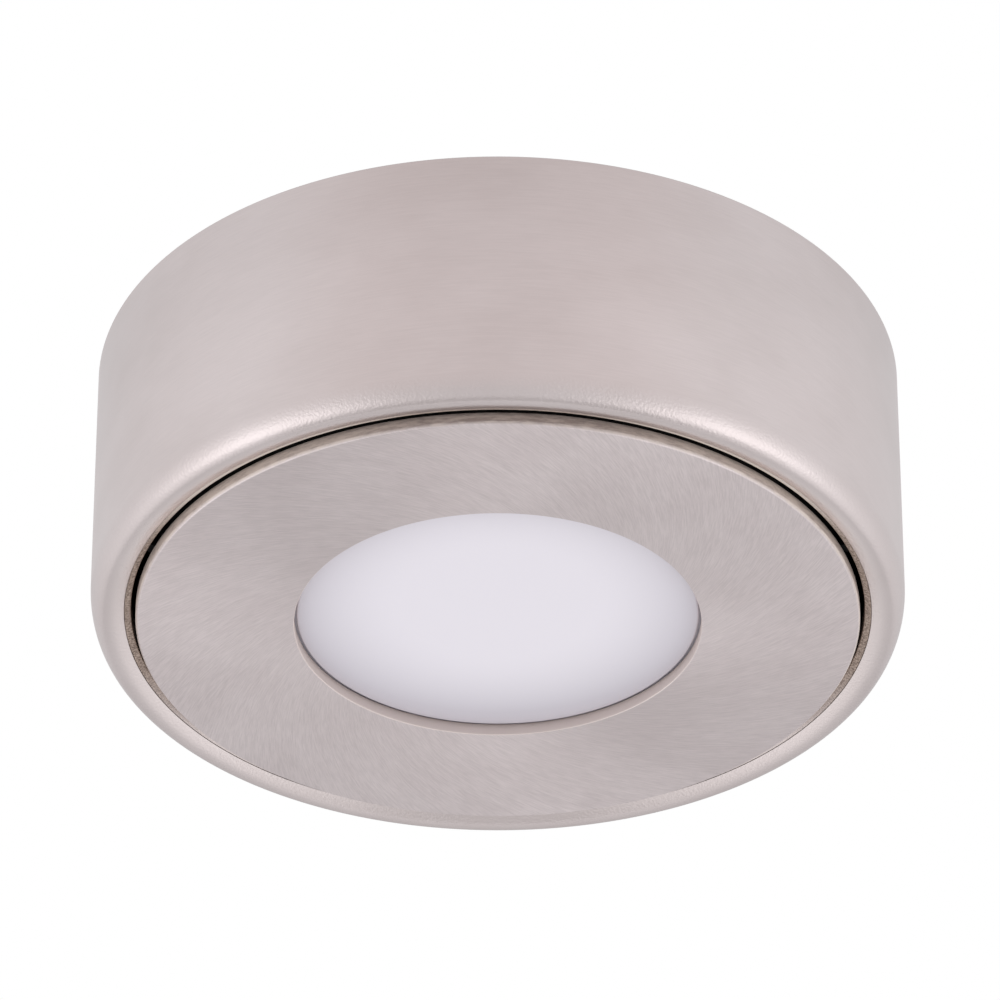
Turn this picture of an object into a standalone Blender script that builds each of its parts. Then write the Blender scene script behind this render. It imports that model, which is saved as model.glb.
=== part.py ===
"""Round surface-mounted LED cabinet light.

A brushed nickel lamp insert, a flat face ring with an opal lens in its middle, sits in a drawn metal
housing that is screwed under a cabinet by a moulded base.  The light shines down, along -Z.  The
origin is the centre of the face ring's front, and +Z runs up to the cabinet.
"""

import math

import bmesh
import bpy
from mathutils import Matrix, Vector

MM = 0.001

# Drawn housing shell
HOUSING_RADIUS = 36.0 * MM        # outside, at the rounded rim
HOUSING_HEIGHT = 25.5 * MM        # from the front of the face ring to the cabinet
HOUSING_DRAFT = math.radians(0.5)
SHELL_WALL = 1.0 * MM
RIM_WIDTH = 3.65 * MM             # from the outside to the opening that the face ring lies in
RIM_HEIGHT = 0.5 * MM             # the rim's lowest circle above the front of the face ring
RIM_OUTER_ROUND = 2.0 * MM
RIM_FLAT = 0.06 * MM              # between the outer and the inner round
RIM_UPSTAND = 0.6 * MM            # straight part of the edge that is turned up round the face ring
LUG_LENGTH = 4.8 * MM
LUG_WIDTH = 6.0 * MM
LUG_SUNK = 0.02 * MM              # below the shell's back edge
NOTCH_WIDTH = 8.0 * MM            # way out for the lead, at the back
NOTCH_DEPTH = 5.0 * MM

# Face ring
FACE_THICKNESS = 1.2 * MM
FACE_EDGE_ROUND = 0.25 * MM
FACE_GAP = 0.35 * MM              # dark gap between the face ring and the rim
FACE_OVERHANG = 3.6 * MM          # past the lamp body
SPIGOT_WALL = 1.0 * MM
SPIGOT_HEIGHT = 1.8 * MM
BOSS_RADIUS = 2.0 * MM
BOSS_SET_IN = 0.3 * MM            # inside the spigot's outer face

# Opal lens, light box and LED board
LENS_RECESS = 1.0 * MM            # the lens lies this far behind the front
LENS_FLANGE = 1.5 * MM
LENS_FLANGE_WIDTH = 2.6 * MM      # beyond the hole
LENS_EDGE_ROUND = 0.2 * MM
LIGHT_BOX_DEPTH = 4.0 * MM
LIGHT_BOX_MARGIN = 2.0 * MM       # between the reflector and the face ring's bosses
REFLECTOR_WALL = 1.0 * MM
REFLECTOR_SLOPE = 0.7 * MM
REFLECTOR_LIP = 0.3 * MM          # from the lens hole to the reflector's front edge
BOARD_THICKNESS = 1.2 * MM
PAD_THICKNESS = 0.5 * MM
LED_LENGTH = 3.5 * MM
LED_WIDTH = 2.8 * MM
LED_HEIGHT = 0.7 * MM
LED_INNER_COUNT = 3
LED_OUTER_COUNT = 9
LED_INNER_SHARE = 0.29            # of the lens hole's radius
LED_OUTER_SHARE = 0.73

# Lamp body, a finned casting
BODY_WALL = 1.9 * MM
BODY_FLOOR = 2.2 * MM
BODY_ROUND = 0.6 * MM
FIN_HEIGHT = 2.6 * MM
FIN_CLEARANCE = 2.2 * MM          # from the rear cover to the fins
FIN_ROOT = 0.1 * MM               # metal left over the floor between the fins
FIN_SLOTS = 24
FIN_SLOT_WIDTH = 2.4 * MM

# Rear cover with its gland and terminal block
COVER_SHARE = 0.458               # of the lamp body's radius
COVER_WALL = 1.2 * MM
COVER_FLANGE_WIDTH = 4.6 * MM
COVER_ROUND = 1.6 * MM
LEAD_DIAMETER = 2.2 * MM
GLAND_WALL = 0.7 * MM
GLAND_FLANGE = 0.8 * MM
GLAND_SNOUT = 1.6 * MM
GLAND_ROUND = 0.25 * MM
TERMINAL_SIZE = (8.0 * MM, 5.4 * MM, 3.6 * MM)
WIRE_RADIUS = 0.45 * MM

# Leaf springs that hold the lamp in the base
CLIP_COUNT = 3
CLIP_WIDTH = 6.4 * MM
CLIP_THICKNESS = 0.35 * MM
CLIP_BEND = 1.2 * MM
POCKET_DEPTH = 1.0 * MM
RIVET_RADIUS = 0.7 * MM
RIVET_LENGTH = 3.0 * MM
RIVET_HEAD_RADIUS = 1.3 * MM
RIVET_HEAD_HEIGHT = 0.45 * MM

# Moulded base
BASE_FLOOR = 2.0 * MM
BASE_LEDGE = 7.7 * MM             # from the collar's bore to the opening for the wiring
COLLAR_CLEARANCE = 0.8 * MM       # round the lamp body
COLLAR_WALL = 1.8 * MM
RIB_COUNT = 12
RIB_THICKNESS = 1.2 * MM
WOOD_SCREW_RADIUS = 1.9 * MM      # clear hole, countersunk for the heads

# Screws: the same small screw throughout
SCREW_RADIUS = 1.0 * MM
SCREW_HEAD_RADIUS = 1.8 * MM
SCREW_HEAD_HEIGHT = 1.1 * MM
SCREW_LENGTH = 5.0 * MM
SCREW_COUNT = 3                   # in each ring of screws
BLIND_LEFT = 0.4 * MM             # metal left past the end of a blind hole

# Fits
SEAT = 0.2 * MM                   # between faces that rest on each other
SIDE_FIT = 0.2 * MM               # round what slides in
HOLE_FIT = 0.15 * MM              # round a screw or a rivet
CUT_OVER = 1.0 * MM               # how far a cutter stands out of what it cuts

# Faces round each turned piece
FINE = 64
MEDIUM = 40
SMALL = 28
TINY = 12

# Levels from the front up to the cabinet
z_face_back = FACE_THICKNESS
z_seat = z_face_back + SEAT
z_lens_back = z_seat + LENS_FLANGE
z_board = z_lens_back + LIGHT_BOX_DEPTH
z_board_back = z_board + BOARD_THICKNESS
z_floor = z_board_back + PAD_THICKNESS + 2 * SEAT
z_floor_back = z_floor + BODY_FLOOR
z_rivet = z_floor + BODY_FLOOR / 2
z_cover = z_floor_back + SEAT
z_base_floor = HOUSING_HEIGHT - BASE_FLOOR

# Radii that follow from the driving sizes
opening_radius = HOUSING_RADIUS - RIM_WIDTH
rim_inner_round = RIM_WIDTH - RIM_OUTER_ROUND - RIM_FLAT
z_upstand_top = RIM_HEIGHT + rim_inner_round + RIM_UPSTAND
back_radius = HOUSING_RADIUS - (HOUSING_HEIGHT - RIM_HEIGHT) * math.tan(HOUSING_DRAFT)
base_radius = back_radius - SHELL_WALL - SIDE_FIT
face_radius = opening_radius - FACE_GAP
body_radius = face_radius - FACE_OVERHANG
body_bore = body_radius - BODY_WALL
spigot_radius = body_bore - SIDE_FIT
board_radius = body_bore - SIDE_FIT
boss_circle = spigot_radius - BOSS_RADIUS - BOSS_SET_IN
reflector_radius = boss_circle - BOSS_RADIUS - LIGHT_BOX_MARGIN
reflector_bore = reflector_radius - REFLECTOR_WALL - REFLECTOR_SLOPE
lens_hole_radius = reflector_bore - REFLECTOR_LIP
lens_radius = lens_hole_radius + LENS_FLANGE_WIDTH
board_screw_circle = reflector_radius + SIDE_FIT + SCREW_HEAD_RADIUS
pad_radius = board_screw_circle - SCREW_RADIUS - 2 * SIDE_FIT
wire_hole_radius = 3 * WIRE_RADIUS
collar_bore = body_radius + COLLAR_CLEARANCE
collar_radius = collar_bore + COLLAR_WALL
base_opening_radius = collar_bore - BASE_LEDGE
wood_screw_circle = collar_bore - BASE_LEDGE / 2
lug_hole_circle = back_radius - SHELL_WALL - 0.54 * LUG_LENGTH
cover_radius = COVER_SHARE * body_radius
cover_flange_radius = cover_radius + COVER_FLANGE_WIDTH
cover_screw_circle = cover_radius + COVER_FLANGE_WIDTH / 2
fin_inside = cover_flange_radius + FIN_CLEARANCE
pocket_floor = body_radius - POCKET_DEPTH
gland_radius = LEAD_DIAMETER / 2 + GLAND_WALL
gland_lip = gland_radius + GLAND_FLANGE
z_gland = z_cover + COVER_WALL + gland_lip + SEAT
z_cover_top = z_gland + gland_lip + SEAT + max(COVER_WALL, COVER_ROUND)

# Directions of the patterns round the axis, the lead leaving at the back along +Y
lead_angle = math.radians(90)
lug_angle = math.radians(30)
boss_angle = math.radians(90)
clip_angle = math.radians(60)
board_screw_angle = math.radians(30)
cover_screw_angle = math.radians(30)


def start_scene():
    """Clear the scene and make one collection for the light and one for its cutters."""
    for item in list(bpy.data.objects):
        bpy.data.objects.remove(item, do_unlink=True)
    collections = []
    for name in ("cabinet_light", "cutters"):
        collection = bpy.data.collections.new(name)
        bpy.context.scene.collection.children.link(collection)
        collections.append(collection)
    return collections


def material(name, colour, roughness, metallic=0.0):
    """A Principled material."""
    made = bpy.data.materials.new(name)
    made.use_nodes = True
    shader = made.node_tree.nodes["Principled BSDF"]
    shader.inputs["Base Color"].default_value = (*colour, 1.0)
    shader.inputs["Roughness"].default_value = roughness
    shader.inputs["Metallic"].default_value = metallic
    return made


parts, cutters = start_scene()

brushed_nickel = material("brushed_nickel", (0.56, 0.51, 0.50), 0.32, 1.0)
face_nickel = material("face_nickel", (0.58, 0.53, 0.52), 0.30, 1.0)
opal_acrylic = material("opal_acrylic", (0.86, 0.85, 0.88), 0.35)
white_plastic = material("white_plastic", (0.88, 0.88, 0.86), 0.45)
black_plastic = material("black_plastic", (0.02, 0.02, 0.021), 0.5)
cast_aluminium = material("cast_aluminium", (0.55, 0.56, 0.57), 0.45, 1.0)
board_white = material("board_white", (0.82, 0.83, 0.80), 0.4)
phosphor = material("phosphor", (0.92, 0.74, 0.18), 0.35)
grey_silicone = material("grey_silicone", (0.42, 0.45, 0.50), 0.8)
black_rubber = material("black_rubber", (0.03, 0.03, 0.03), 0.7)
spring_steel = material("spring_steel", (0.66, 0.66, 0.65), 0.25, 1.0)
zinc_steel = material("zinc_steel", (0.62, 0.63, 0.66), 0.3, 1.0)
green_plastic = material("green_plastic", (0.05, 0.24, 0.12), 0.45)
red_cable = material("red_cable", (0.55, 0.03, 0.03), 0.45)
black_cable = material("black_cable", (0.02, 0.02, 0.02), 0.45)


def add_object(name, mesh, collection, surface=None, place=None):
    """Put a mesh in a collection as a named object, placed by a matrix."""
    made = bpy.data.objects.new(name, mesh)
    collection.objects.link(made)
    if surface:
        mesh.materials.append(surface)
    if place:
        made.matrix_world = place
    if collection == cutters:
        made.hide_render = True
        made.display_type = "WIRE"
    return made


def rounded(corners, closed=False, steps=4):
    """Points of an outline given as (r, z, radius) corners, each radius turned into an arc."""
    points = []
    count = len(corners)
    for index, (r, z, radius) in enumerate(corners):
        here = Vector((r, z))
        if radius <= 0 or (not closed and index in (0, count - 1)):
            points.append(here)
            continue
        to_last = (Vector(corners[index - 1][:2]) - here).normalized()
        to_next = (Vector(corners[(index + 1) % count][:2]) - here).normalized()
        half = to_last.angle(to_next) / 2
        centre = here + (to_last + to_next).normalized() * (radius / math.sin(half))
        first = here + to_last * (radius / math.tan(half)) - centre
        last = here + to_next * (radius / math.tan(half)) - centre
        sweep = first.angle_signed(last)
        for step in range(steps + 1):
            turn = -sweep * step / steps
            points.append(centre + Matrix.Rotation(turn, 2) @ first)
    return points


def turned(name, points, surface, sides, closed=False, collection=parts, place=None, wall=0.0):
    """A profile of (r, z) points turned about Z, and given a wall on its inner side if asked."""
    mesh = bpy.data.meshes.new(name)
    edges = [(index, index + 1) for index in range(len(points) - 1)]
    if closed:
        edges.append((len(points) - 1, 0))
    mesh.from_pydata([(point[0], 0.0, point[1]) for point in points], edges, [])
    made = add_object(name, mesh, collection, surface, place)
    screw = made.modifiers.new("Turn", "SCREW")
    screw.axis = "Z"
    screw.angle = math.tau
    screw.steps = sides
    screw.render_steps = sides
    screw.use_merge_vertices = True
    screw.merge_threshold = 1e-6
    screw.use_smooth_shade = True
    if wall:
        shell = made.modifiers.new("Wall", "SOLIDIFY")
        shell.thickness = wall
        shell.offset = -1.0
        shell.use_even_offset = True
    return made


def mesh_from(name, build):
    """A mesh made by a function that fills a bmesh."""
    work = bmesh.new()
    build(work)
    mesh = bpy.data.meshes.new(name)
    work.to_mesh(mesh)
    work.free()
    return mesh


def polar(radius, angle, z=0.0):
    return Vector((radius * math.cos(angle), radius * math.sin(angle), z))


def facing(angle, radius=0.0, z=0.0):
    """A frame at a point round the axis whose X runs outwards there."""
    return Matrix.Translation(polar(radius, angle, z)) @ Matrix.Rotation(angle, 4, "Z")


def ring_of(count, first=0.0):
    return [first + math.tau * index / count for index in range(count)]


def add_rod(work, place, low, high, radius, top_radius=None, sides=TINY):
    """A rod or cone along the Z of a frame, from low to high."""
    end_radius = radius if top_radius is None else top_radius
    centre = place @ Matrix.Translation((0, 0, (low + high) / 2))
    bmesh.ops.create_cone(work, cap_ends=True, segments=sides, radius1=radius, radius2=end_radius,
                          depth=high - low, matrix=centre)


def add_block(work, place, low, high):
    """A block in a frame, between two opposite corners."""
    low, high = Vector(low), Vector(high)
    size = Matrix.Diagonal((*(high - low), 1.0))
    bmesh.ops.create_cube(work, size=1.0, matrix=place @ Matrix.Translation((low + high) / 2) @ size)


def combine(target, operation, name, build):
    """Cut or join a shape, filled by a function, to an object."""
    tool = add_object(name, mesh_from(name, build), cutters)
    change = target.modifiers.new(name, "BOOLEAN")
    change.operation = operation
    change.solver = "EXACT"
    change.object = tool
    return tool


def share_cutter(target, tool):
    change = target.modifiers.new(tool.name, "BOOLEAN")
    change.operation = "DIFFERENCE"
    change.solver = "EXACT"
    change.object = tool


def lead_notch():
    """U-shaped way out for the lead, cut through the shell and the base at the back."""
    half = NOTCH_WIDTH / 2
    z_round = HOUSING_HEIGHT - NOTCH_DEPTH + half
    outline = [(half, HOUSING_HEIGHT + CUT_OVER)]
    for step in range(TINY // 2 + 1):
        turn = -math.pi * step / (TINY // 2)
        outline.append((half * math.cos(turn), z_round + half * math.sin(turn)))
    outline.append((-half, HOUSING_HEIGHT + CUT_OVER))

    def fill(work):
        near = base_opening_radius - CUT_OVER
        face = work.faces.new([work.verts.new((x, near, z)) for x, z in outline])
        far = bmesh.ops.extrude_face_region(work, geom=[face])["geom"]
        moved = [item for item in far if isinstance(item, bmesh.types.BMVert)]
        bmesh.ops.translate(work, verts=moved, vec=(0, HOUSING_RADIUS + CUT_OVER - near, 0))
        bmesh.ops.recalc_face_normals(work, faces=work.faces)

    return add_object("lead_notch", mesh_from("lead_notch", fill), cutters)


def housing_shell(notch):
    """The drawn shell: tapered wall, rounded rim, and an edge turned up round the face ring."""
    draft_run = RIM_OUTER_ROUND * math.tan(HOUSING_DRAFT)
    corners = [
        (back_radius, HOUSING_HEIGHT, 0),
        (HOUSING_RADIUS + draft_run, RIM_HEIGHT, RIM_OUTER_ROUND),
        (opening_radius, RIM_HEIGHT, rim_inner_round),
        (opening_radius, z_upstand_top, 0),
    ]
    shell = turned("housing_shell", rounded(corners), brushed_nickel, FINE, wall=SHELL_WALL)

    def lugs(work):
        for angle in ring_of(SCREW_COUNT, lug_angle):
            add_block(work, facing(angle, back_radius - SHELL_WALL / 2),
                      (-LUG_LENGTH - SHELL_WALL / 2, -LUG_WIDTH / 2, HOUSING_HEIGHT - SHELL_WALL),
                      (0, LUG_WIDTH / 2, HOUSING_HEIGHT - LUG_SUNK))

    def screw_holes(work):
        for angle in ring_of(SCREW_COUNT, lug_angle):
            place = facing(angle, lug_hole_circle)
            add_rod(work, place, HOUSING_HEIGHT - SCREW_HEAD_HEIGHT - CUT_OVER, HOUSING_HEIGHT + CUT_OVER,
                    SCREW_RADIUS + HOLE_FIT)

    def sinks(work):
        for angle in ring_of(SCREW_COUNT, lug_angle):
            slope = (SCREW_HEAD_RADIUS - SCREW_RADIUS) / SCREW_HEAD_HEIGHT
            top = HOUSING_HEIGHT + CUT_OVER
            low = HOUSING_HEIGHT - SCREW_HEAD_HEIGHT
            add_rod(work, facing(angle, lug_hole_circle), low, top, SCREW_RADIUS + HOLE_FIT,
                    SCREW_RADIUS + HOLE_FIT + slope * (top - low))

    combine(shell, "UNION", "shell_lugs", lugs)
    combine(shell, "DIFFERENCE", "lug_holes", screw_holes)
    combine(shell, "DIFFERENCE", "lug_sinks", sinks)
    share_cutter(shell, notch)
    return shell


def mounting_base(notch):
    """The moulded base: a floor ring under the cabinet, and a collar that the lamp slides into."""
    corners = [
        (base_radius, HOUSING_HEIGHT, 0),
        (base_radius, z_base_floor, 0),
        (collar_radius, z_base_floor, 0),
        (collar_radius, z_seat, 0),
        (collar_bore, z_seat, 0),
        (collar_bore, z_base_floor, 0),
        (base_opening_radius, z_base_floor, 0),
        (base_opening_radius, HOUSING_HEIGHT, 0),
    ]
    base = turned("mounting_base", rounded(corners, closed=True), black_plastic, FINE, closed=True)
    boss_radius = 2 * SCREW_RADIUS + HOLE_FIT
    boss_low = z_base_floor - SCREW_LENGTH - CUT_OVER

    def ribs(work):
        for angle in ring_of(RIB_COUNT, math.pi / RIB_COUNT):
            add_block(work, facing(angle),
                      (collar_radius - COLLAR_WALL / 2, -RIB_THICKNESS / 2, z_upstand_top + SEAT),
                      (base_radius * math.cos(math.pi / FINE) - SIDE_FIT / 2, RIB_THICKNESS / 2,
                       z_base_floor + BASE_FLOOR / 2))

    def bosses(work):
        boss_high = z_base_floor + BASE_FLOOR / 2
        for angle in ring_of(SCREW_COUNT, lug_angle):
            add_rod(work, facing(angle, lug_hole_circle), boss_low, boss_high, boss_radius)

    def recesses(work):
        for angle in ring_of(SCREW_COUNT, lug_angle):
            add_block(work, facing(angle, back_radius),
                      (-LUG_LENGTH - SHELL_WALL - SIDE_FIT, -LUG_WIDTH / 2 - SIDE_FIT,
                       HOUSING_HEIGHT - SHELL_WALL - SEAT),
                      (CUT_OVER, LUG_WIDTH / 2 + SIDE_FIT, HOUSING_HEIGHT + CUT_OVER))

    def pilots(work):
        for angle in ring_of(SCREW_COUNT, lug_angle):
            add_rod(work, facing(angle, lug_hole_circle), boss_low + CUT_OVER / 2,
                    HOUSING_HEIGHT + CUT_OVER, SCREW_RADIUS + HOLE_FIT)

    def wood_screw_holes(work):
        for angle in ring_of(2):
            add_rod(work, facing(angle, wood_screw_circle), z_base_floor - CUT_OVER,
                    HOUSING_HEIGHT + CUT_OVER, WOOD_SCREW_RADIUS)

    def wood_screw_sinks(work):
        for angle in ring_of(2):
            add_rod(work, facing(angle, wood_screw_circle), z_base_floor - CUT_OVER,
                    z_base_floor + 0.7 * BASE_FLOOR, WOOD_SCREW_RADIUS + 0.7 * BASE_FLOOR + CUT_OVER,
                    WOOD_SCREW_RADIUS)

    combine(base, "UNION", "centring_ribs", ribs)
    combine(base, "UNION", "screw_bosses", bosses)
    combine(base, "DIFFERENCE", "lug_recesses", recesses)
    combine(base, "DIFFERENCE", "pilot_holes", pilots)
    combine(base, "DIFFERENCE", "wood_screw_holes", wood_screw_holes)
    combine(base, "DIFFERENCE", "wood_screw_sinks", wood_screw_sinks)
    share_cutter(base, notch)
    return base


def face_ring():
    """The front plate with its lens hole, a spigot that centres it, and three screw bosses."""
    spigot_bore = spigot_radius - SPIGOT_WALL
    corners = [
        (face_radius, z_face_back, 0),
        (face_radius, 0, FACE_EDGE_ROUND),
        (lens_hole_radius, 0, FACE_EDGE_ROUND / 2),
        (lens_hole_radius, z_face_back, 0),
        (spigot_bore, z_face_back, 0),
        (spigot_bore, z_seat + SPIGOT_HEIGHT, 0),
        (spigot_radius, z_seat + SPIGOT_HEIGHT, 0),
        (spigot_radius, z_face_back, 0),
    ]
    ring = turned("face_ring", rounded(corners, closed=True, steps=2), face_nickel, FINE, closed=True)

    def bosses(work):
        for angle in ring_of(SCREW_COUNT, boss_angle):
            add_rod(work, facing(angle, boss_circle), z_face_back / 2, z_floor - SEAT, BOSS_RADIUS)

    def threads(work):
        for angle in ring_of(SCREW_COUNT, boss_angle):
            add_rod(work, facing(angle, boss_circle), z_floor_back - SCREW_LENGTH - SEAT,
                    z_floor + CUT_OVER, SCREW_RADIUS + HOLE_FIT)

    combine(ring, "UNION", "ring_bosses", bosses)
    combine(ring, "DIFFERENCE", "ring_threads", threads)
    return ring


def lens():
    """The opal lens: a nose in the ring's hole and a flange behind it."""
    nose_radius = lens_hole_radius - SIDE_FIT
    corners = [
        (0, z_lens_back, 0),
        (lens_radius, z_lens_back, 0),
        (lens_radius, z_seat, 0),
        (nose_radius, z_seat, 0),
        (nose_radius, LENS_RECESS, LENS_EDGE_ROUND),
        (0, LENS_RECESS, 0),
    ]
    return turned("opal_lens", rounded(corners, steps=1), opal_acrylic, MEDIUM)


def reflector():
    """The white ring that carries the light from the board to the lens and holds the lens down."""
    low, high = z_lens_back + SEAT, z_board - SEAT
    corners = [
        (reflector_radius, high, 0),
        (reflector_radius, low, 0),
        (reflector_bore, low, 0),
        (reflector_bore + REFLECTOR_SLOPE, high, 0),
    ]
    return turned("reflector_ring", rounded(corners, closed=True), white_plastic, MEDIUM, closed=True)


def led_board():
    """The aluminium-backed board, notched for the ring's bosses and drilled for screws and wires."""
    corners = [
        (0, z_board_back, 0),
        (board_radius, z_board_back, 0),
        (board_radius, z_board, 0),
        (0, z_board, 0),
    ]
    board = turned("led_board", rounded(corners), board_white, MEDIUM)
    low, high = z_board - CUT_OVER, z_board_back + CUT_OVER

    def holes(work):
        for angle in ring_of(SCREW_COUNT, boss_angle):
            add_rod(work, facing(angle, boss_circle), low, high, BOSS_RADIUS + SIDE_FIT)
        for angle in ring_of(SCREW_COUNT, board_screw_angle):
            add_rod(work, facing(angle, board_screw_circle), low, high, SCREW_RADIUS + HOLE_FIT)
        add_rod(work, Matrix.Identity(4), low, high, wire_hole_radius)

    def notches(work):
        for angle in ring_of(SCREW_COUNT, boss_angle):
            add_block(work, facing(angle, boss_circle), (0, -BOSS_RADIUS, low),
                      (board_radius - boss_circle + CUT_OVER, BOSS_RADIUS, high))

    combine(board, "DIFFERENCE", "board_holes", holes)
    combine(board, "DIFFERENCE", "board_notches", notches)
    return board


def led(index, angle, radius):
    """One LED package with its bevelled light window, on the front of the board."""
    def fill(work):
        add_block(work, Matrix.Identity(4), (-LED_LENGTH / 2, -LED_WIDTH / 2, -LED_HEIGHT / 2),
                  (LED_LENGTH / 2, LED_WIDTH / 2, LED_HEIGHT / 2))
        window = min(work.faces, key=lambda face: face.calc_center_median().z)
        bmesh.ops.inset_individual(work, faces=[window], thickness=0.1 * LED_WIDTH)
        bmesh.ops.inset_individual(work, faces=[window], thickness=0.05 * LED_WIDTH,
                                   depth=-0.2 * LED_HEIGHT)

    name = f"led_{index:02d}"
    z_middle = z_board - SEAT - LED_HEIGHT / 2
    return add_object(name, mesh_from(name, fill), parts, phosphor, facing(angle, radius, z_middle))


def leds():
    places = [(angle, LED_INNER_SHARE) for angle in ring_of(LED_INNER_COUNT, lead_angle)]
    places += [(angle, LED_OUTER_SHARE) for angle in ring_of(LED_OUTER_COUNT, lead_angle)]
    for index, (angle, share) in enumerate(places, start=1):
        led(index, angle, share * lens_hole_radius)


def thermal_pad():
    """The soft pad that carries the board's heat to the body."""
    low = z_board_back + SEAT
    corners = [(pad_radius, low + PAD_THICKNESS, 0), (pad_radius, low, 0),
               (wire_hole_radius, low, 0), (wire_hole_radius, low + PAD_THICKNESS, 0)]
    return turned("thermal_pad", rounded(corners, closed=True), grey_silicone, SMALL, closed=True)


def lamp_body():
    """The cast body: a cup for the light box in front, a ring of cooling fins behind."""
    z_fin = z_floor_back + FIN_HEIGHT
    corners = [
        (body_radius, z_fin, BODY_ROUND),
        (body_radius, z_seat, BODY_ROUND / 2),
        (body_bore, z_seat, 0),
        (body_bore, z_floor, 0),
        (wire_hole_radius, z_floor, 0),
        (wire_hole_radius, z_floor_back, 0),
        (fin_inside, z_floor_back, 0),
        (fin_inside, z_fin, BODY_ROUND),
    ]
    body = turned("lamp_body", rounded(corners, closed=True, steps=1), cast_aluminium, MEDIUM, closed=True)

    def fin_slots(work):
        for angle in ring_of(FIN_SLOTS, math.pi / FIN_SLOTS):
            add_block(work, facing(angle, fin_inside),
                      (-CUT_OVER, -FIN_SLOT_WIDTH / 2, z_floor_back + FIN_ROOT),
                      (body_radius - fin_inside + CUT_OVER, FIN_SLOT_WIDTH / 2, z_fin + CUT_OVER))

    def clip_pockets(work):
        for angle in ring_of(CLIP_COUNT, clip_angle):
            add_block(work, facing(angle),
                      (pocket_floor, -CLIP_WIDTH / 2 - SIDE_FIT, z_seat + SPIGOT_HEIGHT),
                      (body_radius + CUT_OVER, CLIP_WIDTH / 2 + SIDE_FIT, z_fin + CUT_OVER))

    def rivet_holes(work):
        for angle in ring_of(CLIP_COUNT, clip_angle):
            place = facing(angle, pocket_floor, z_rivet) @ Matrix.Rotation(math.pi / 2, 4, "Y")
            add_rod(work, place, -RIVET_LENGTH - SEAT, CUT_OVER, RIVET_RADIUS + HOLE_FIT)

    def floor_holes(work):
        low, high = z_floor - CUT_OVER, z_floor_back + CUT_OVER
        for angle in ring_of(SCREW_COUNT, boss_angle):
            add_rod(work, facing(angle, boss_circle), low, high + FIN_HEIGHT, SCREW_RADIUS + HOLE_FIT)
        for angle in ring_of(SCREW_COUNT, board_screw_angle):
            add_rod(work, facing(angle, board_screw_circle), low, z_floor_back - BLIND_LEFT,
                    SCREW_RADIUS + HOLE_FIT)
        for angle in ring_of(SCREW_COUNT, cover_screw_angle):
            add_rod(work, facing(angle, cover_screw_circle), z_floor + BLIND_LEFT, high,
                    SCREW_RADIUS + HOLE_FIT)

    def screw_seats(work):
        for angle in ring_of(SCREW_COUNT, boss_angle):
            add_rod(work, facing(angle, boss_circle), z_floor_back + FIN_ROOT, z_fin + CUT_OVER,
                    SCREW_HEAD_RADIUS + SIDE_FIT)

    combine(body, "DIFFERENCE", "fin_slots", fin_slots)
    combine(body, "DIFFERENCE", "clip_pockets", clip_pockets)
    combine(body, "DIFFERENCE", "rivet_holes", rivet_holes)
    combine(body, "DIFFERENCE", "floor_holes", floor_holes)
    combine(body, "DIFFERENCE", "screw_seats", screw_seats)
    return body


def rear_cover():
    """The hat-shaped cover over the terminal block, with a hole for the gland."""
    z_flange = z_cover + COVER_WALL
    corners = [
        (0, z_cover_top, 0),
        (cover_radius, z_cover_top, COVER_ROUND),
        (cover_radius, z_flange, 0),
        (cover_flange_radius, z_flange, 0),
    ]
    cover = turned("rear_cover", rounded(corners, steps=2), black_plastic, SMALL, wall=COVER_WALL)

    def openings(work):
        place = facing(lead_angle, cover_radius, z_gland) @ Matrix.Rotation(math.pi / 2, 4, "Y")
        add_rod(work, place, -2 * COVER_WALL, CUT_OVER, gland_radius + HOLE_FIT)
        for angle in ring_of(SCREW_COUNT, cover_screw_angle):
            add_rod(work, facing(angle, cover_screw_circle), z_cover - CUT_OVER, z_flange + CUT_OVER,
                    SCREW_RADIUS + HOLE_FIT)

    combine(cover, "DIFFERENCE", "cover_holes", openings)
    return cover


def lead_gland():
    """The rubber gland that the lead passes through, gripped by the cover's wall."""
    bow = gland_lip ** 2 / (2 * cover_radius)
    outside = SEAT
    snout_end = outside + GLAND_FLANGE + GLAND_SNOUT
    inside = -COVER_WALL - bow - SEAT
    corners = [
        (gland_radius, snout_end, GLAND_ROUND),
        (gland_lip, outside + GLAND_FLANGE, GLAND_ROUND),
        (gland_lip, outside, 0),
        (gland_radius, outside, 0),
        (gland_radius, inside, 0),
        (gland_lip, inside, 0),
        (gland_radius, inside - GLAND_FLANGE, 0),
        (LEAD_DIAMETER / 2, inside - GLAND_FLANGE, 0),
        (LEAD_DIAMETER / 2, snout_end, 0),
    ]
    place = facing(lead_angle, cover_radius, z_gland) @ Matrix.Rotation(math.pi / 2, 4, "Y")
    return turned("lead_gland", rounded(corners, closed=True, steps=1), black_rubber, TINY, closed=True,
                  place=place)


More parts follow.
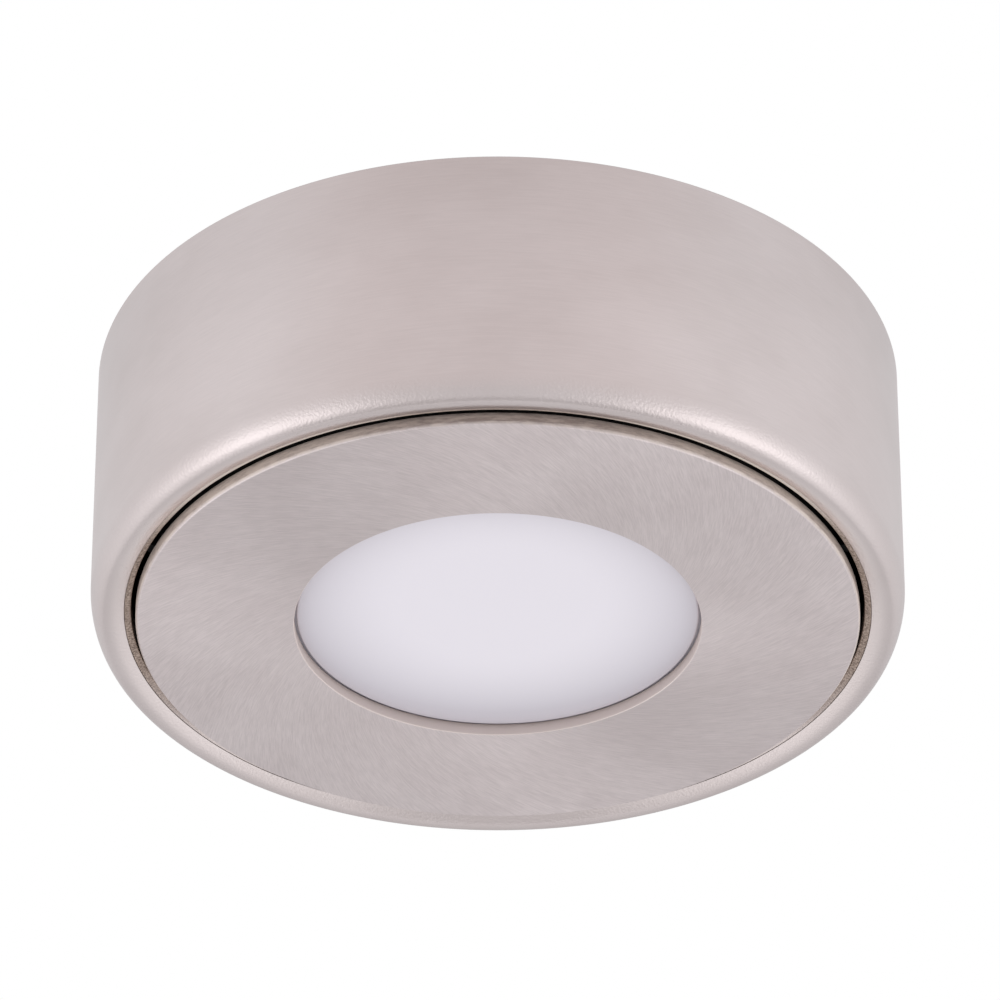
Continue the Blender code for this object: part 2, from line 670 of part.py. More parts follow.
def terminal_block():
    """The two-pole block for the lead, its wire ways facing the gland."""
    length, depth, height = TERMINAL_SIZE
    place = Matrix.Translation((0, depth / 2, z_cover))

    def fill(work):
        add_block(work, place, (-length / 2, -depth / 2, 0), (length / 2, depth / 2, height))

    block = add_object("terminal_block", mesh_from("terminal_block", fill), parts, green_plastic)

    def ways(work):
        for side in (-1, 1):
            pole = place @ Matrix.Translation((side * length / 4, 0, 0))
            way = pole @ Matrix.Translation((0, 0, 0.35 * height)) @ Matrix.Rotation(-math.pi / 2, 4, "X")
            add_rod(work, way, -depth / 2 - CUT_OVER, -depth / 4, 0.2 * height)
            add_rod(work, way, depth / 4, depth / 2 + CUT_OVER, 0.2 * height)
            add_rod(work, pole, 0.6 * height, height + CUT_OVER, SCREW_RADIUS + HOLE_FIT)

    combine(block, "DIFFERENCE", "terminal_ways", ways)
    for index, side in enumerate((-1, 1), start=1):
        name = f"terminal_screw_{index}"

        def clamp(work):
            add_rod(work, Matrix.Identity(4), 0, 0.35 * height, SCREW_RADIUS)

        screw = add_object(name, mesh_from(name, clamp), parts, zinc_steel,
                           place @ Matrix.Translation((side * length / 4, 0, 0.6 * height + SEAT)))

        def slot(work):
            add_block(work, screw.matrix_world,
                      (-SCREW_RADIUS - CUT_OVER, -0.15 * SCREW_RADIUS, 0.25 * height),
                      (SCREW_RADIUS + CUT_OVER, 0.15 * SCREW_RADIUS, height))

        combine(screw, "DIFFERENCE", f"{name}_slot", slot)


def inner_wires():
    """Two short wires from the terminal block down through the body to the front of the board."""
    length, depth, height = TERMINAL_SIZE
    for index, (side, surface) in enumerate(((-1, red_cable), (1, black_cable)), start=1):
        x_block = side * length / 4
        x_hole = side * 1.4 * WIRE_RADIUS
        z_block = z_cover + 0.35 * height
        route = [
            (x_block, -SEAT, z_block),
            (x_block, -3.2 * WIRE_RADIUS, z_block),
            (x_block * 0.8, -5.4 * WIRE_RADIUS, z_block - 0.6 * WIRE_RADIUS),
            (x_hole * 1.3, -4.4 * WIRE_RADIUS, z_cover + 2.0 * WIRE_RADIUS),
            (x_hole, -1.8 * WIRE_RADIUS, z_cover + 1.3 * WIRE_RADIUS),
            (x_hole, 0, z_floor_back - WIRE_RADIUS),
            (x_hole, 0, z_board + WIRE_RADIUS),
            (x_hole, 0, z_board - LED_HEIGHT),
        ]
        name = f"inner_wire_{index}"
        curve = bpy.data.curves.new(name, "CURVE")
        curve.dimensions = "3D"
        curve.bevel_depth = WIRE_RADIUS
        curve.bevel_resolution = 2
        curve.use_fill_caps = True
        spline = curve.splines.new("POLY")
        spline.points.add(len(route) - 1)
        for point, spot in zip(spline.points, route):
            point.co = (*spot, 1.0)
        add_object(name, curve, parts, surface)


def small_screw(name, place, length=SCREW_LENGTH, countersunk=False, recess=True):
    """A small screw whose head's underside, or flush top if countersunk, is at the frame's origin."""
    if countersunk:
        corners = [
            (0, 0, 0),
            (SCREW_HEAD_RADIUS, 0, 0),
            (SCREW_RADIUS, -SCREW_HEAD_HEIGHT, 0),
            (SCREW_RADIUS, -length, 0),
            (0, -length, 0),
        ]
        z_top = 0.0
    else:
        corners = [
            (0, SCREW_HEAD_HEIGHT, 0),
            (SCREW_HEAD_RADIUS, SCREW_HEAD_HEIGHT, 0.5 * SCREW_HEAD_HEIGHT),
            (SCREW_HEAD_RADIUS, 0, 0),
            (SCREW_RADIUS, 0, 0),
            (SCREW_RADIUS, -length, 0),
            (0, -length, 0),
        ]
        z_top = SCREW_HEAD_HEIGHT
    screw = turned(name, rounded(corners, steps=1), zinc_steel, TINY, place=place)
    if not recess:
        return screw

    def cross(work):
        reach, half, depth = 0.55 * SCREW_HEAD_RADIUS, 0.13 * SCREW_HEAD_RADIUS, 0.5 * SCREW_HEAD_HEIGHT
        arm = [(reach, half), (half, half), (half, reach)]
        outline = [Matrix.Rotation(quarter * math.pi / 2, 2) @ Vector(point)
                   for quarter in range(4) for point in arm]
        face = work.faces.new([work.verts.new((*point, z_top - depth)) for point in outline])
        grown = bmesh.ops.extrude_face_region(work, geom=[face])["geom"]
        moved = [item for item in grown if isinstance(item, bmesh.types.BMVert)]
        bmesh.ops.translate(work, verts=moved, vec=(0, 0, depth + CUT_OVER))
        bmesh.ops.recalc_face_normals(work, faces=work.faces)
        bmesh.ops.transform(work, matrix=place, verts=work.verts)

    combine(screw, "DIFFERENCE", f"{name}_cross", cross)
    return screw


def screws():
    """The four rings of three screws that hold the light together."""
    upside_down = Matrix.Rotation(math.pi, 4, "X")
    cover_seat = z_cover + COVER_WALL + SEAT
    board_seat = z_board - SEAT
    cover_grip = cover_seat - z_floor - BLIND_LEFT - SEAT
    board_grip = z_floor_back - BLIND_LEFT - SEAT - board_seat
    for index in range(SCREW_COUNT):
        number = index + 1
        turn = math.tau * index / SCREW_COUNT
        small_screw(f"shell_screw_{number}", facing(lug_angle + turn, lug_hole_circle, HOUSING_HEIGHT),
                    countersunk=True)
        small_screw(f"face_screw_{number}",
                    facing(boss_angle + turn, boss_circle, z_floor_back + FIN_ROOT + SEAT))
        small_screw(f"cover_screw_{number}",
                    facing(cover_screw_angle + turn, cover_screw_circle, cover_seat), cover_grip)
        small_screw(f"board_screw_{number}",
                    facing(board_screw_angle + turn, board_screw_circle, board_seat) @ upside_down,
                    board_grip, recess=False)


def spring_clips():
    """Leaf springs riveted in the body's pockets, each bowed out to grip the collar."""
    foot = pocket_floor + SEAT + CLIP_THICKNESS
    z_low = z_seat + SPIGOT_HEIGHT + 2 * SIDE_FIT
    bow_reach = math.sqrt((collar_bore * math.cos(math.pi / FINE)) ** 2 - (CLIP_WIDTH / 2) ** 2) - SIDE_FIT
    z_foot = z_floor - SEAT
    corners = [
        (foot, z_floor_back + FIN_HEIGHT - SIDE_FIT, 0),
        (foot, z_foot, CLIP_BEND),
        (bow_reach, (z_foot + z_low) / 2, CLIP_BEND),
        (foot, z_low, 0),
    ]
    profile = rounded(corners, steps=3)
    for index, angle in enumerate(ring_of(CLIP_COUNT, clip_angle), start=1):
        name = f"spring_clip_{index}"

        def strip(work):
            rows = [[work.verts.new((r, side * CLIP_WIDTH / 2, z)) for r, z in profile] for side in (1, -1)]
            for step in range(len(profile) - 1):
                work.faces.new((rows[0][step], rows[1][step], rows[1][step + 1], rows[0][step + 1]))

        clip = add_object(name, mesh_from(name, strip), parts, spring_steel, facing(angle))
        leaf = clip.modifiers.new("Leaf", "SOLIDIFY")
        leaf.thickness = CLIP_THICKNESS
        leaf.offset = -1.0
        leaf.use_even_offset = True

        def hole(work):
            place = facing(angle, pocket_floor, z_rivet) @ Matrix.Rotation(math.pi / 2, 4, "Y")
            add_rod(work, place, -CUT_OVER, 2 * CUT_OVER, RIVET_RADIUS + HOLE_FIT)

        combine(clip, "DIFFERENCE", f"{name}_hole", hole)
        rivet = [
            (0, RIVET_HEAD_HEIGHT, 0),
            (RIVET_HEAD_RADIUS, RIVET_HEAD_HEIGHT, 0.6 * RIVET_HEAD_HEIGHT),
            (RIVET_HEAD_RADIUS, 0, 0),
            (RIVET_RADIUS, 0, 0),
            (RIVET_RADIUS, -RIVET_LENGTH, 0),
            (0, -RIVET_LENGTH, 0),
        ]
        turned(f"clip_rivet_{index}", rounded(rivet, steps=1), zinc_steel, TINY,
               place=facing(angle, foot + SEAT / 2, z_rivet) @ Matrix.Rotation(math.pi / 2, 4, "Y"))


notch = lead_notch()
housing_shell(notch)
mounting_base(notch)
face_ring()
lens()
reflector()
led_board()
leds()
thermal_pad()
lamp_body()
rear_cover()
lead_gland()
terminal_block()
inner_wires()
screws()
spring_clips()
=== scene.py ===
import math

import bmesh
import bpy
from mathutils import Matrix, Vector


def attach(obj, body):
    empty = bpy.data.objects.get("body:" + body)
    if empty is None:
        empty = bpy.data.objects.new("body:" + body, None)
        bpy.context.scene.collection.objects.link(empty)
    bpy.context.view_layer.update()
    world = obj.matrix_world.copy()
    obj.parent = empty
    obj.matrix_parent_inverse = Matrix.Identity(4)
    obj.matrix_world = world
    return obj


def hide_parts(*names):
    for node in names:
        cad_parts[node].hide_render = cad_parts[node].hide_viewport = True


# Round surface-mounted LED cabinet light, seen from in front and below. Sizes are in metres.
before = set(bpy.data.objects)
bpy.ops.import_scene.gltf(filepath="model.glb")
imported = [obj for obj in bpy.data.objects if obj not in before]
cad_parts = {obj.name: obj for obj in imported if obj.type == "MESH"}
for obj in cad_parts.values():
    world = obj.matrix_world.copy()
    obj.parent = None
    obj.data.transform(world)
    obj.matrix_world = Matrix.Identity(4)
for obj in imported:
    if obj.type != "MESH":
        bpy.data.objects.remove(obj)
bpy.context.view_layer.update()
mm = 0.001
rootBody = "root"
bumpDepth = 0.05 * mm


# Node trees

def addNode(tree, kind, inputs=None, **settings):
    made = tree.nodes.new(kind)
    for name, value in settings.items():
        setattr(made, name, value)
    for key, value in (inputs or {}).items():
        if isinstance(value, bpy.types.NodeSocket):
            tree.links.new(value, made.inputs[key])
        else:
            made.inputs[key].default_value = value
    return made


def maths(tree, operation, first, second=0.0, third=0.0):
    return addNode(tree, "ShaderNodeMath", {0: first, 1: second, 2: third}, operation=operation).outputs[0]


def product(tree, value, *factors):
    for factor in factors:
        value = maths(tree, "MULTIPLY", value, factor)
    return value


def vectorMaths(tree, operation, first, second=(0, 0, 0)):
    made = addNode(tree, "ShaderNodeVectorMath", {0: first, 1: second}, operation=operation)
    return made.outputs["Value" if operation in ("LENGTH", "DOT_PRODUCT") else "Vector"]


def turnedBy(tree, vector, angle):
    return addNode(tree, "ShaderNodeVectorRotate", {"Vector": vector, "Angle": angle},
                   rotation_type="Z_AXIS").outputs[0]


def mixColour(tree, factor, first, second, blend="MIX"):
    return addNode(tree, "ShaderNodeMix", {0: factor, 6: first, 7: second}, data_type="RGBA",
                   blend_type=blend).outputs[2]


def mixValue(tree, factor, first, second):
    return addNode(tree, "ShaderNodeMix", {0: factor, 2: first, 3: second}).outputs[0]


def remap(tree, value, low, high, newLow=0.0, newHigh=1.0, smooth=True):
    return addNode(tree, "ShaderNodeMapRange",
                   {"Value": value, "From Min": low, "From Max": high, "To Min": newLow, "To Max": newHigh},
                   interpolation_type="SMOOTHSTEP" if smooth else "LINEAR").outputs["Result"]


def noise(tree, vector, scale, detail=3.0, roughness=0.55, distortion=0.0):
    return addNode(tree, "ShaderNodeTexNoise",
                   {"Vector": vector, "Scale": scale, "Detail": detail, "Roughness": roughness,
                    "Distortion": distortion}).outputs["Fac"]


def stretched(tree, vector, scale):
    return addNode(tree, "ShaderNodeMapping", {"Vector": vector, "Scale": scale}).outputs[0]


def rgb(colour):
    return (*colour, 1.0)


def greyOf(tree, value):
    return addNode(tree, "ShaderNodeCombineColor", {0: value, 1: value, 2: value}).outputs[0]


def newFinish(name, colour, roughness, metallic=0.0, **sockets):
    finish = bpy.data.materials.new(name)
    finish.use_nodes = True
    tree = finish.node_tree
    shader = tree.nodes["Principled BSDF"]
    given = {"Base Color": rgb(colour), "Roughness": roughness, "Metallic": metallic, **sockets}
    for key, value in given.items():
        shader.inputs[key].default_value = value
    place = addNode(tree, "ShaderNodeTexCoord").outputs["Object"]
    return finish, tree, shader, place


def setBump(tree, shader, height, strength=1.0, distance=bumpDepth):
    bump = addNode(tree, "ShaderNodeBump", {"Height": height, "Strength": strength, "Distance": distance})
    tree.links.new(bump.outputs["Normal"], shader.inputs["Normal"])


def flatOf(tree, place):
    return vectorMaths(tree, "MULTIPLY", place, (1, 1, 0))


def polarOf(tree, place):
    radius = vectorMaths(tree, "LENGTH", flatOf(tree, place))
    apart = addNode(tree, "ShaderNodeSeparateXYZ", {0: place}).outputs
    return radius, apart["X"], apart["Y"], apart["Z"]


# Finishes

# A range gives where a change starts and ends, then what it goes from and to.
nickelLook = {
    "colour": (0.566, 0.505, 0.498),
    "lightColour": (0.606, 0.545, 0.540),
    "roughness": 0.34,
    "roughRange": (0.31, 0.37),
    "streak": (0.965, 1.035),
    "backShade": (7 * mm, 25 * mm, 1.0, 0.93),      # painted shade: the wall is a little darker towards the cabinet
    "grainLength": 3.4 * mm,
    "grainWidth": 0.13 * mm,
    "grainBump": 0.07,
    "fineGrain": (2.6, 2.1),        # how much finer the second grain is, along and across
    "fineShare": 0.35,

    "rimRange": (3.1 * mm, 1.9 * mm),
    "rimStreak": 0.97,
    "peelSize": 0.25 * mm,
    "peelBump": 0.85,
    # painted light: the rim's inner slope is painted lighter at the sides and on the near side
    "innerPaintedLight": (0.88, 0.79, 0.77),
    "innerPaintedLightRadius": (34.9 * mm, 33.0 * mm),
    "innerPaintedLightSide": (4 * mm, 18 * mm, 0.4),
    "innerPaintedLightNear": (-4 * mm, -17 * mm, 0.45),

    "lipColour": (0.60, 0.52, 0.47),
    "lipLight": (0.74, 0.66, 0.60),
    # painted highlight on the raw edge, on the near diagonals
    "lipPaintedHighlight": (0.74, 0.66, 0.60),
    # painted shade on the raw edge at the sides and far side
    "lipPaintedShade": (0.185, 0.137, 0.115),
    "lipPaintedShadeMottle": (0.50, 0.40, 0.34),
    "paintedHighlightSide": (5 * mm, 15 * mm),
    "paintedHighlightNear": (-12 * mm, -20 * mm),
    "lipPaintedShadeRange": (-21 * mm, -10 * mm),
    "lipHeight": (3.7 * mm, 3.1 * mm),
    "lipRadius": (33.03 * mm, 32.97 * mm),
    "lipFade": (21 * mm, 6 * mm, 0.2),      # the brown edge colour fades out beyond this, towards the lead
    "lipRoughness": 0.5,
    "lipMatt": 0.6,
    "mottleScale": 5200.0,
    "ringWidth": 0.09 * mm,
    "ringBump": 0.45,
    "ringSlope": 0.35,              # the turned grooves look outwards

    "pitScale": 160.0,
    "pitSize": (0.030, 0.018),
    "pitPick": (0.90, 0.91),        # only one cell in ten has a pit
    "pitShare": 0.6,
    "pitColour": (0.10, 0.08, 0.08),
}


def makeHousingNickel():
    look = nickelLook
    finish, tree, shader, place = newFinish("housingNickel", look["colour"], look["roughness"], 1.0)
    radius, x, y, z = polarOf(tree, place)
    offMiddle = maths(tree, "ABSOLUTE", x)
    along, across = 1 / look["grainLength"], 1 / look["grainWidth"]
    fineAlong, fineAcross = look["fineGrain"][0] * along, look["fineGrain"][1] * across
    grain = noise(tree, stretched(tree, place, (along, along, across)), 1.0, 4.0, 0.62, 0.1)
    fineGrain = noise(tree, stretched(tree, place, (fineAlong, fineAlong, fineAcross)), 1.0, 2.0, 0.6)
    share = look["fineShare"]
    grains = maths(tree, "MULTIPLY_ADD", fineGrain, share, product(tree, grain, 1 - share))
    peel = noise(tree, place, 1 / look["peelSize"], 2.5, 0.55)
    rimShare = remap(tree, z, *look["rimRange"])
    broad = noise(tree, stretched(tree, place, (1, 1, 1.6)), 60.0, 3.0)
    colour = mixColour(tree, remap(tree, broad, 0.3, 0.7), rgb(look["colour"]), rgb(look["lightColour"]))
    # the grain streaks, with the painted shade towards the cabinet
    streak = product(tree, remap(tree, grains, 0.3, 0.7, *look["streak"]), remap(tree, z, *look["backShade"]))
    streak = mixValue(tree, rimShare, streak, look["rimStreak"])
    colour = mixColour(tree, 1.0, colour, greyOf(tree, streak), "MULTIPLY")
    # painted light: the rim's inner slope lighter at the sides and on the near side
    inner = product(tree, rimShare, remap(tree, radius, *look["innerPaintedLightRadius"]),
                    remap(tree, offMiddle, *look["innerPaintedLightSide"]), remap(tree, y, *look["innerPaintedLightNear"]))
    colour = mixColour(tree, inner, colour, rgb(look["innerPaintedLight"]))
    # the raw edge turned up round the face ring, brown of its own, with a painted highlight on the near
    # diagonals and painted shade at the sides and far side
    mottle = noise(tree, place, look["mottleScale"], 3.0, 0.6)
    spots = remap(tree, mottle, 0.35, 0.65)
    lip = mixColour(tree, spots, rgb(look["lipColour"]), rgb(look["lipLight"]))
    lipPaintedShade = mixColour(tree, spots, rgb(look["lipPaintedShade"]), rgb(look["lipPaintedShadeMottle"]))
    # painted highlight on the near diagonals
    lipPaintedHighlight = product(tree, remap(tree, offMiddle, *look["paintedHighlightSide"]),
                        remap(tree, y, *look["paintedHighlightNear"]))
    lip = mixColour(tree, lipPaintedHighlight, lip, rgb(look["lipPaintedHighlight"]))
    # painted shade at the sides and far side
    lip = mixColour(tree, remap(tree, y, *look["lipPaintedShadeRange"]), lip, lipPaintedShade)
    lipShare = product(tree, remap(tree, z, *look["lipHeight"]), remap(tree, radius, *look["lipRadius"]),
                       remap(tree, y, *look["lipFade"]))
    colour = mixColour(tree, lipShare, colour, lip)
    # a few tiny pits
    cells = addNode(tree, "ShaderNodeTexVoronoi", {"Vector": place, "Scale": look["pitScale"]}, feature="F1")
    pick = addNode(tree, "ShaderNodeSeparateColor", {0: cells.outputs["Color"]}).outputs[0]
    pit = product(tree, remap(tree, cells.outputs["Distance"], *look["pitSize"]),
                  remap(tree, pick, *look["pitPick"]), look["pitShare"])
    colour = mixColour(tree, pit, colour, rgb(look["pitColour"]))
    tree.links.new(colour, shader.inputs["Base Color"])
    rough = mixValue(tree, rimShare, remap(tree, grains, 0.3, 0.7, *look["roughRange"]), look["roughness"])
    tree.links.new(mixValue(tree, lipShare, rough, look["lipRoughness"]), shader.inputs["Roughness"])
    matt = product(tree, lipShare, lipPaintedHighlight)
    tree.links.new(maths(tree, "MULTIPLY_ADD", matt, -look["lipMatt"], 1.0), shader.inputs["Metallic"])
    height = mixValue(tree, rimShare, product(tree, grains, look["grainBump"]),
                      product(tree, peel, look["peelBump"]))
    # turned rings on the raw edge
    outwards = addNode(tree, "ShaderNodeCombineXYZ", {0: radius}).outputs[0]
    rings = noise(tree, vectorMaths(tree, "MULTIPLY", outwards, (1 / look["ringWidth"], 1, 1)), 1.0, 2.0)
    rings = product(tree, maths(tree, "ADD", rings, mottle), look["ringBump"])
    rings = maths(tree, "MULTIPLY_ADD", radius, -look["ringSlope"] / bumpDepth, rings)
    setBump(tree, shader, mixValue(tree, lipShare, height, rings))
    return finish


faceSize = {
    "radius": 32.0, "frontRadius": 31.8, "rollHeight": 0.26, "thickness": 1.2, "edgeRound": 0.12,
    "holeRadius": 18.0, "holeRound": 0.12, "spigotRadius": 26.3, "spigotWall": 1.0, "spigotTop": 3.2,
    "bossCircle": 24.0, "bossRadius": 2.0, "bossTop": 8.8, "threadRadius": 1.15, "threadLow": 6.0,
}

faceLook = {
    "colour": (0.592, 0.528, 0.527),
    "lightColour": (0.630, 0.566, 0.565),
    "roughness": 0.42,
    "roughRange": (0.39, 0.45),
    "anisotropy": 0.80,
    "streak": (0.92, 1.08),
    "strokeLength": 1.2 * mm,
    "strokeWidth": 0.14 * mm,
    "strokeBump": 0.24,
    "sweepLength": 4.8 * mm,        # broader arcs among the fine strokes
    "sweepWidth": 1.5 * mm,
    "sweepShare": 0.3,
    "swirl": 1.0,                   # the strokes cross the ring at 45 degrees
    "meanRadius": 25 * mm,          # where the strokes have their width

    # the sawn edge's brown tone, partly painted shade
    "edgeBrownAndShade": (0.36, 0.30, 0.28),
    "edgeBrownAndShadeMottle": (0.56, 0.485, 0.45),
    # painted light: the sawn edge lighter at the sides
    "edgePaintedLight": (0.68, 0.60, 0.55),
    "edgeRadius": (31.76 * mm, 31.81 * mm),
    "edgeFront": (0.16 * mm, 0.36 * mm),
    "edgeWave": 0.3 * mm,
    "edgePaintedLightRange": (5 * mm, 21 * mm),
    "blotchScale": 700.0,
    "holeColour": (0.76, 0.67, 0.63),
    "holeBlur": 0.10 * mm,
    "sawnRoughness": 0.6,
    "sawnMatt": 0.5,
}


def swirlSpot(tree, place, radius, width, length):
    # turning each circle by the log of its radius straightens the swirl, so strokes lie on radii
    mean = faceLook["meanRadius"]
    spiral = maths(tree, "LOGARITHM", maths(tree, "DIVIDE", radius, mean), math.e)
    unrolled = turnedBy(tree, place, product(tree, spiral, faceLook["swirl"]))
    unit = vectorMaths(tree, "NORMALIZE", flatOf(tree, unrolled))
    apart = addNode(tree, "ShaderNodeSeparateXYZ", {0: unit}).outputs
    return addNode(tree, "ShaderNodeCombineXYZ", {
        0: product(tree, apart["X"], mean / width), 1: product(tree, apart["Y"], mean / width),
        2: maths(tree, "DIVIDE", radius, length)}).outputs[0]


def makeFaceNickel():
    look = faceLook
    finish, tree, shader, place = newFinish("faceNickel", look["colour"], look["roughness"], 1.0,
                                            Anisotropic=look["anisotropy"])
    radius, x, _, z = polarOf(tree, place)
    strokes = noise(tree, swirlSpot(tree, place, radius, look["strokeWidth"], look["strokeLength"]),
                    1.0, 3.0, 0.62, 0.25)
    sweeps = noise(tree, swirlSpot(tree, place, radius, look["sweepWidth"], look["sweepLength"]),
                   1.0, 2.0, 0.5, 0.2)
    broad = noise(tree, place, 90.0, 2.0)
    share = look["sweepShare"]
    tone = maths(tree, "MULTIPLY_ADD", broad, 1 - share, product(tree, sweeps, share))
    colour = mixColour(tree, remap(tree, tone, 0.35, 0.65), rgb(look["colour"]), rgb(look["lightColour"]))
    streak = remap(tree, strokes, 0.3, 0.7, *look["streak"])
    colour = mixColour(tree, 1.0, colour, greyOf(tree, streak), "MULTIPLY")
    # the sawn edge, browner and blotched; its dark tone is partly painted shade, and it is painted lighter at
    # the sides as painted light
    blotch = noise(tree, stretched(tree, place, (1, 1, 5)), look["blotchScale"], 4.0, 0.65)
    wavy = maths(tree, "MULTIPLY_ADD", blotch, look["edgeWave"], z)
    edgeShare = product(tree, remap(tree, radius, *look["edgeRadius"]), remap(tree, wavy, *look["edgeFront"]))
    edge = mixColour(tree, remap(tree, blotch, 0.35, 0.65), rgb(look["edgeBrownAndShade"]), rgb(look["edgeBrownAndShadeMottle"]))
    # painted light: the sawn edge lighter at the sides
    side = product(tree, remap(tree, maths(tree, "ABSOLUTE", x), *look["edgePaintedLightRange"]),
                   remap(tree, blotch, 0.35, 0.6, 0.5, 1.0))
    edge = mixColour(tree, side, edge, rgb(look["edgePaintedLight"]))
    colour = mixColour(tree, edgeShare, colour, edge)
    hole = faceSize["holeRadius"] * mm
    holeShare = remap(tree, radius, hole + look["holeBlur"], hole)
    colour = mixColour(tree, holeShare, colour, rgb(look["holeColour"]))
    tree.links.new(colour, shader.inputs["Base Color"])
    rough = remap(tree, strokes, 0.3, 0.7, *look["roughRange"])
    sawn = maths(tree, "MAXIMUM", edgeShare, holeShare)
    tree.links.new(mixValue(tree, sawn, rough, look["sawnRoughness"]), shader.inputs["Roughness"])
    tree.links.new(maths(tree, "MULTIPLY_ADD", sawn, -look["sawnMatt"], 1.0), shader.inputs["Metallic"])
    # the shine spreads across the strokes
    outwards = vectorMaths(tree, "NORMALIZE", flatOf(tree, place))
    tree.links.new(turnedBy(tree, outwards, math.pi / 2 - math.atan(look["swirl"])), shader.inputs["Tangent"])
    setBump(tree, shader, product(tree, strokes, look["strokeBump"]))
    return finish


opalLook = {
    "colour": (0.865, 0.830, 0.890),
    "rimPaintedShade": (0.605, 0.575, 0.63),      # painted shade towards the rim, where the ring lies behind the lens
    "roughness": 0.38,
    "coat": {"Coat Weight": 0.15, "Coat Roughness": 0.2},
    "clearRadius": 8.5 * mm,
    "rimRadius": 18.2 * mm,
    "fadePower": 1.8,
    "haze": 0.06,
    "shift": 2.2 * mm,              # the painted shade's bright middle lies a little to the near side
}


def makeOpal():
    look = opalLook
    finish, tree, shader, place = newFinish("opalAcrylic", look["colour"], look["roughness"], **look["coat"])
    shifted = vectorMaths(tree, "ADD", place, (0, look["shift"], 0))
    radius = vectorMaths(tree, "LENGTH", flatOf(tree, shifted))
    # painted shade: the lens darker towards its rim
    paintedRimShade = maths(tree, "POWER", remap(tree, radius, look["clearRadius"], look["rimRadius"], smooth=False),
                 look["fadePower"])
    paintedRimShade = maths(tree, "MULTIPLY_ADD", noise(tree, place, 60.0, 2.0), look["haze"], paintedRimShade)
    colour = mixColour(tree, paintedRimShade, rgb(look["colour"]), rgb(look["rimPaintedShade"]))
    tree.links.new(colour, shader.inputs["Base Color"])
    setBump(tree, shader, noise(tree, place, 2500.0, 2.0), 0.05, 0.02 * mm)
    return finish


def makePlain(name, colour, roughness, grainSize, bump, spread, metal=False):
    finish, tree, shader, place = newFinish(name, colour, roughness, 1.0 if metal else 0.0)
    grain = noise(tree, place, 1 / (grainSize * mm), 3.0, 0.6)
    if metal:
        cloud = noise(tree, place, 180.0, 3.0)
        rough = remap(tree, cloud, 0.3, 0.7, roughness - 0.05, roughness + 0.07)
    else:
        cloud = noise(tree, stretched(tree, place, (1, 1, 3)), 60.0, 3.0)
        rough = remap(tree, grain, 0.3, 0.7, roughness - 0.06, roughness + 0.06)
    darker = tuple(channel * (1 - spread) for channel in colour)
    tone = mixColour(tree, remap(tree, cloud, 0.3, 0.7), rgb(darker), rgb(colour))
    tree.links.new(tone, shader.inputs["Base Color"])
    tree.links.new(rough, shader.inputs["Roughness"])
    setBump(tree, shader, grain, bump)
    return finish


plainLooks = {
    # name: colour, roughness, size of the grain in millimetres, bump, spread of the tone, metal
    "whitePlastic": ((0.86, 0.86, 0.84), 0.45, 0.25, 0.25, 0.04),
    "blackPlastic": ((0.019, 0.017, 0.016), 0.5, 0.25, 0.25, 0.25),
    "castAluminium": ((0.62, 0.62, 0.63), 0.48, 0.35, 0.5, 0.15, True),
    "boardWhite": ((0.82, 0.83, 0.80), 0.35, 0.5, 0.05, 0.05),
    "ledPhosphor": ((0.92, 0.74, 0.18), 0.35, 0.1, 0.1, 0.1),
    "greySilicone": ((0.42, 0.45, 0.50), 0.8, 0.4, 0.2, 0.1),
    "blackRubber": ((0.03, 0.03, 0.03), 0.72, 0.3, 0.15, 0.25),
    "springSteel": ((0.66, 0.66, 0.65), 0.22, 0.2, 0.05, 0.15, True),
    "zincSteel": ((0.66, 0.67, 0.70), 0.28, 0.25, 0.08, 0.15, True),
    "greenPlastic": ((0.05, 0.24, 0.12), 0.42, 0.25, 0.25, 0.25),
    "redCable": ((0.55, 0.03, 0.03), 0.42, 0.3, 0.08, 0.25),
    "blackCable": ((0.02, 0.02, 0.02), 0.42, 0.3, 0.08, 0.25),
}
finishes = {"housing": makeHousingNickel(), "face": makeFaceNickel(), "opal": makeOpal()}
for name, look in plainLooks.items():
    finishes[name] = makePlain(name, *look)
print("finishes made:", len(finishes))


# Geometry Nodes

def newTree(name, sockets):
    tree = bpy.data.node_groups.new(name, "GeometryNodeTree")
    tree.interface.new_socket("Geometry", in_out="INPUT", socket_type="NodeSocketGeometry")
    for label, kind in sockets:
        tree.interface.new_socket(label, in_out="INPUT", socket_type=kind)
    tree.interface.new_socket("Geometry", in_out="OUTPUT", socket_type="NodeSocketGeometry")
    return tree, tree.nodes.new("NodeGroupInput").outputs


def endTree(tree, geometry, material):
    real = addNode(tree, "GeometryNodeRealizeInstances", {0: geometry})
    made = addNode(tree, "GeometryNodeSetMaterial", {"Geometry": real.outputs[0], "Material": material})
    addNode(tree, "NodeGroupOutput", {0: made.outputs[0]})


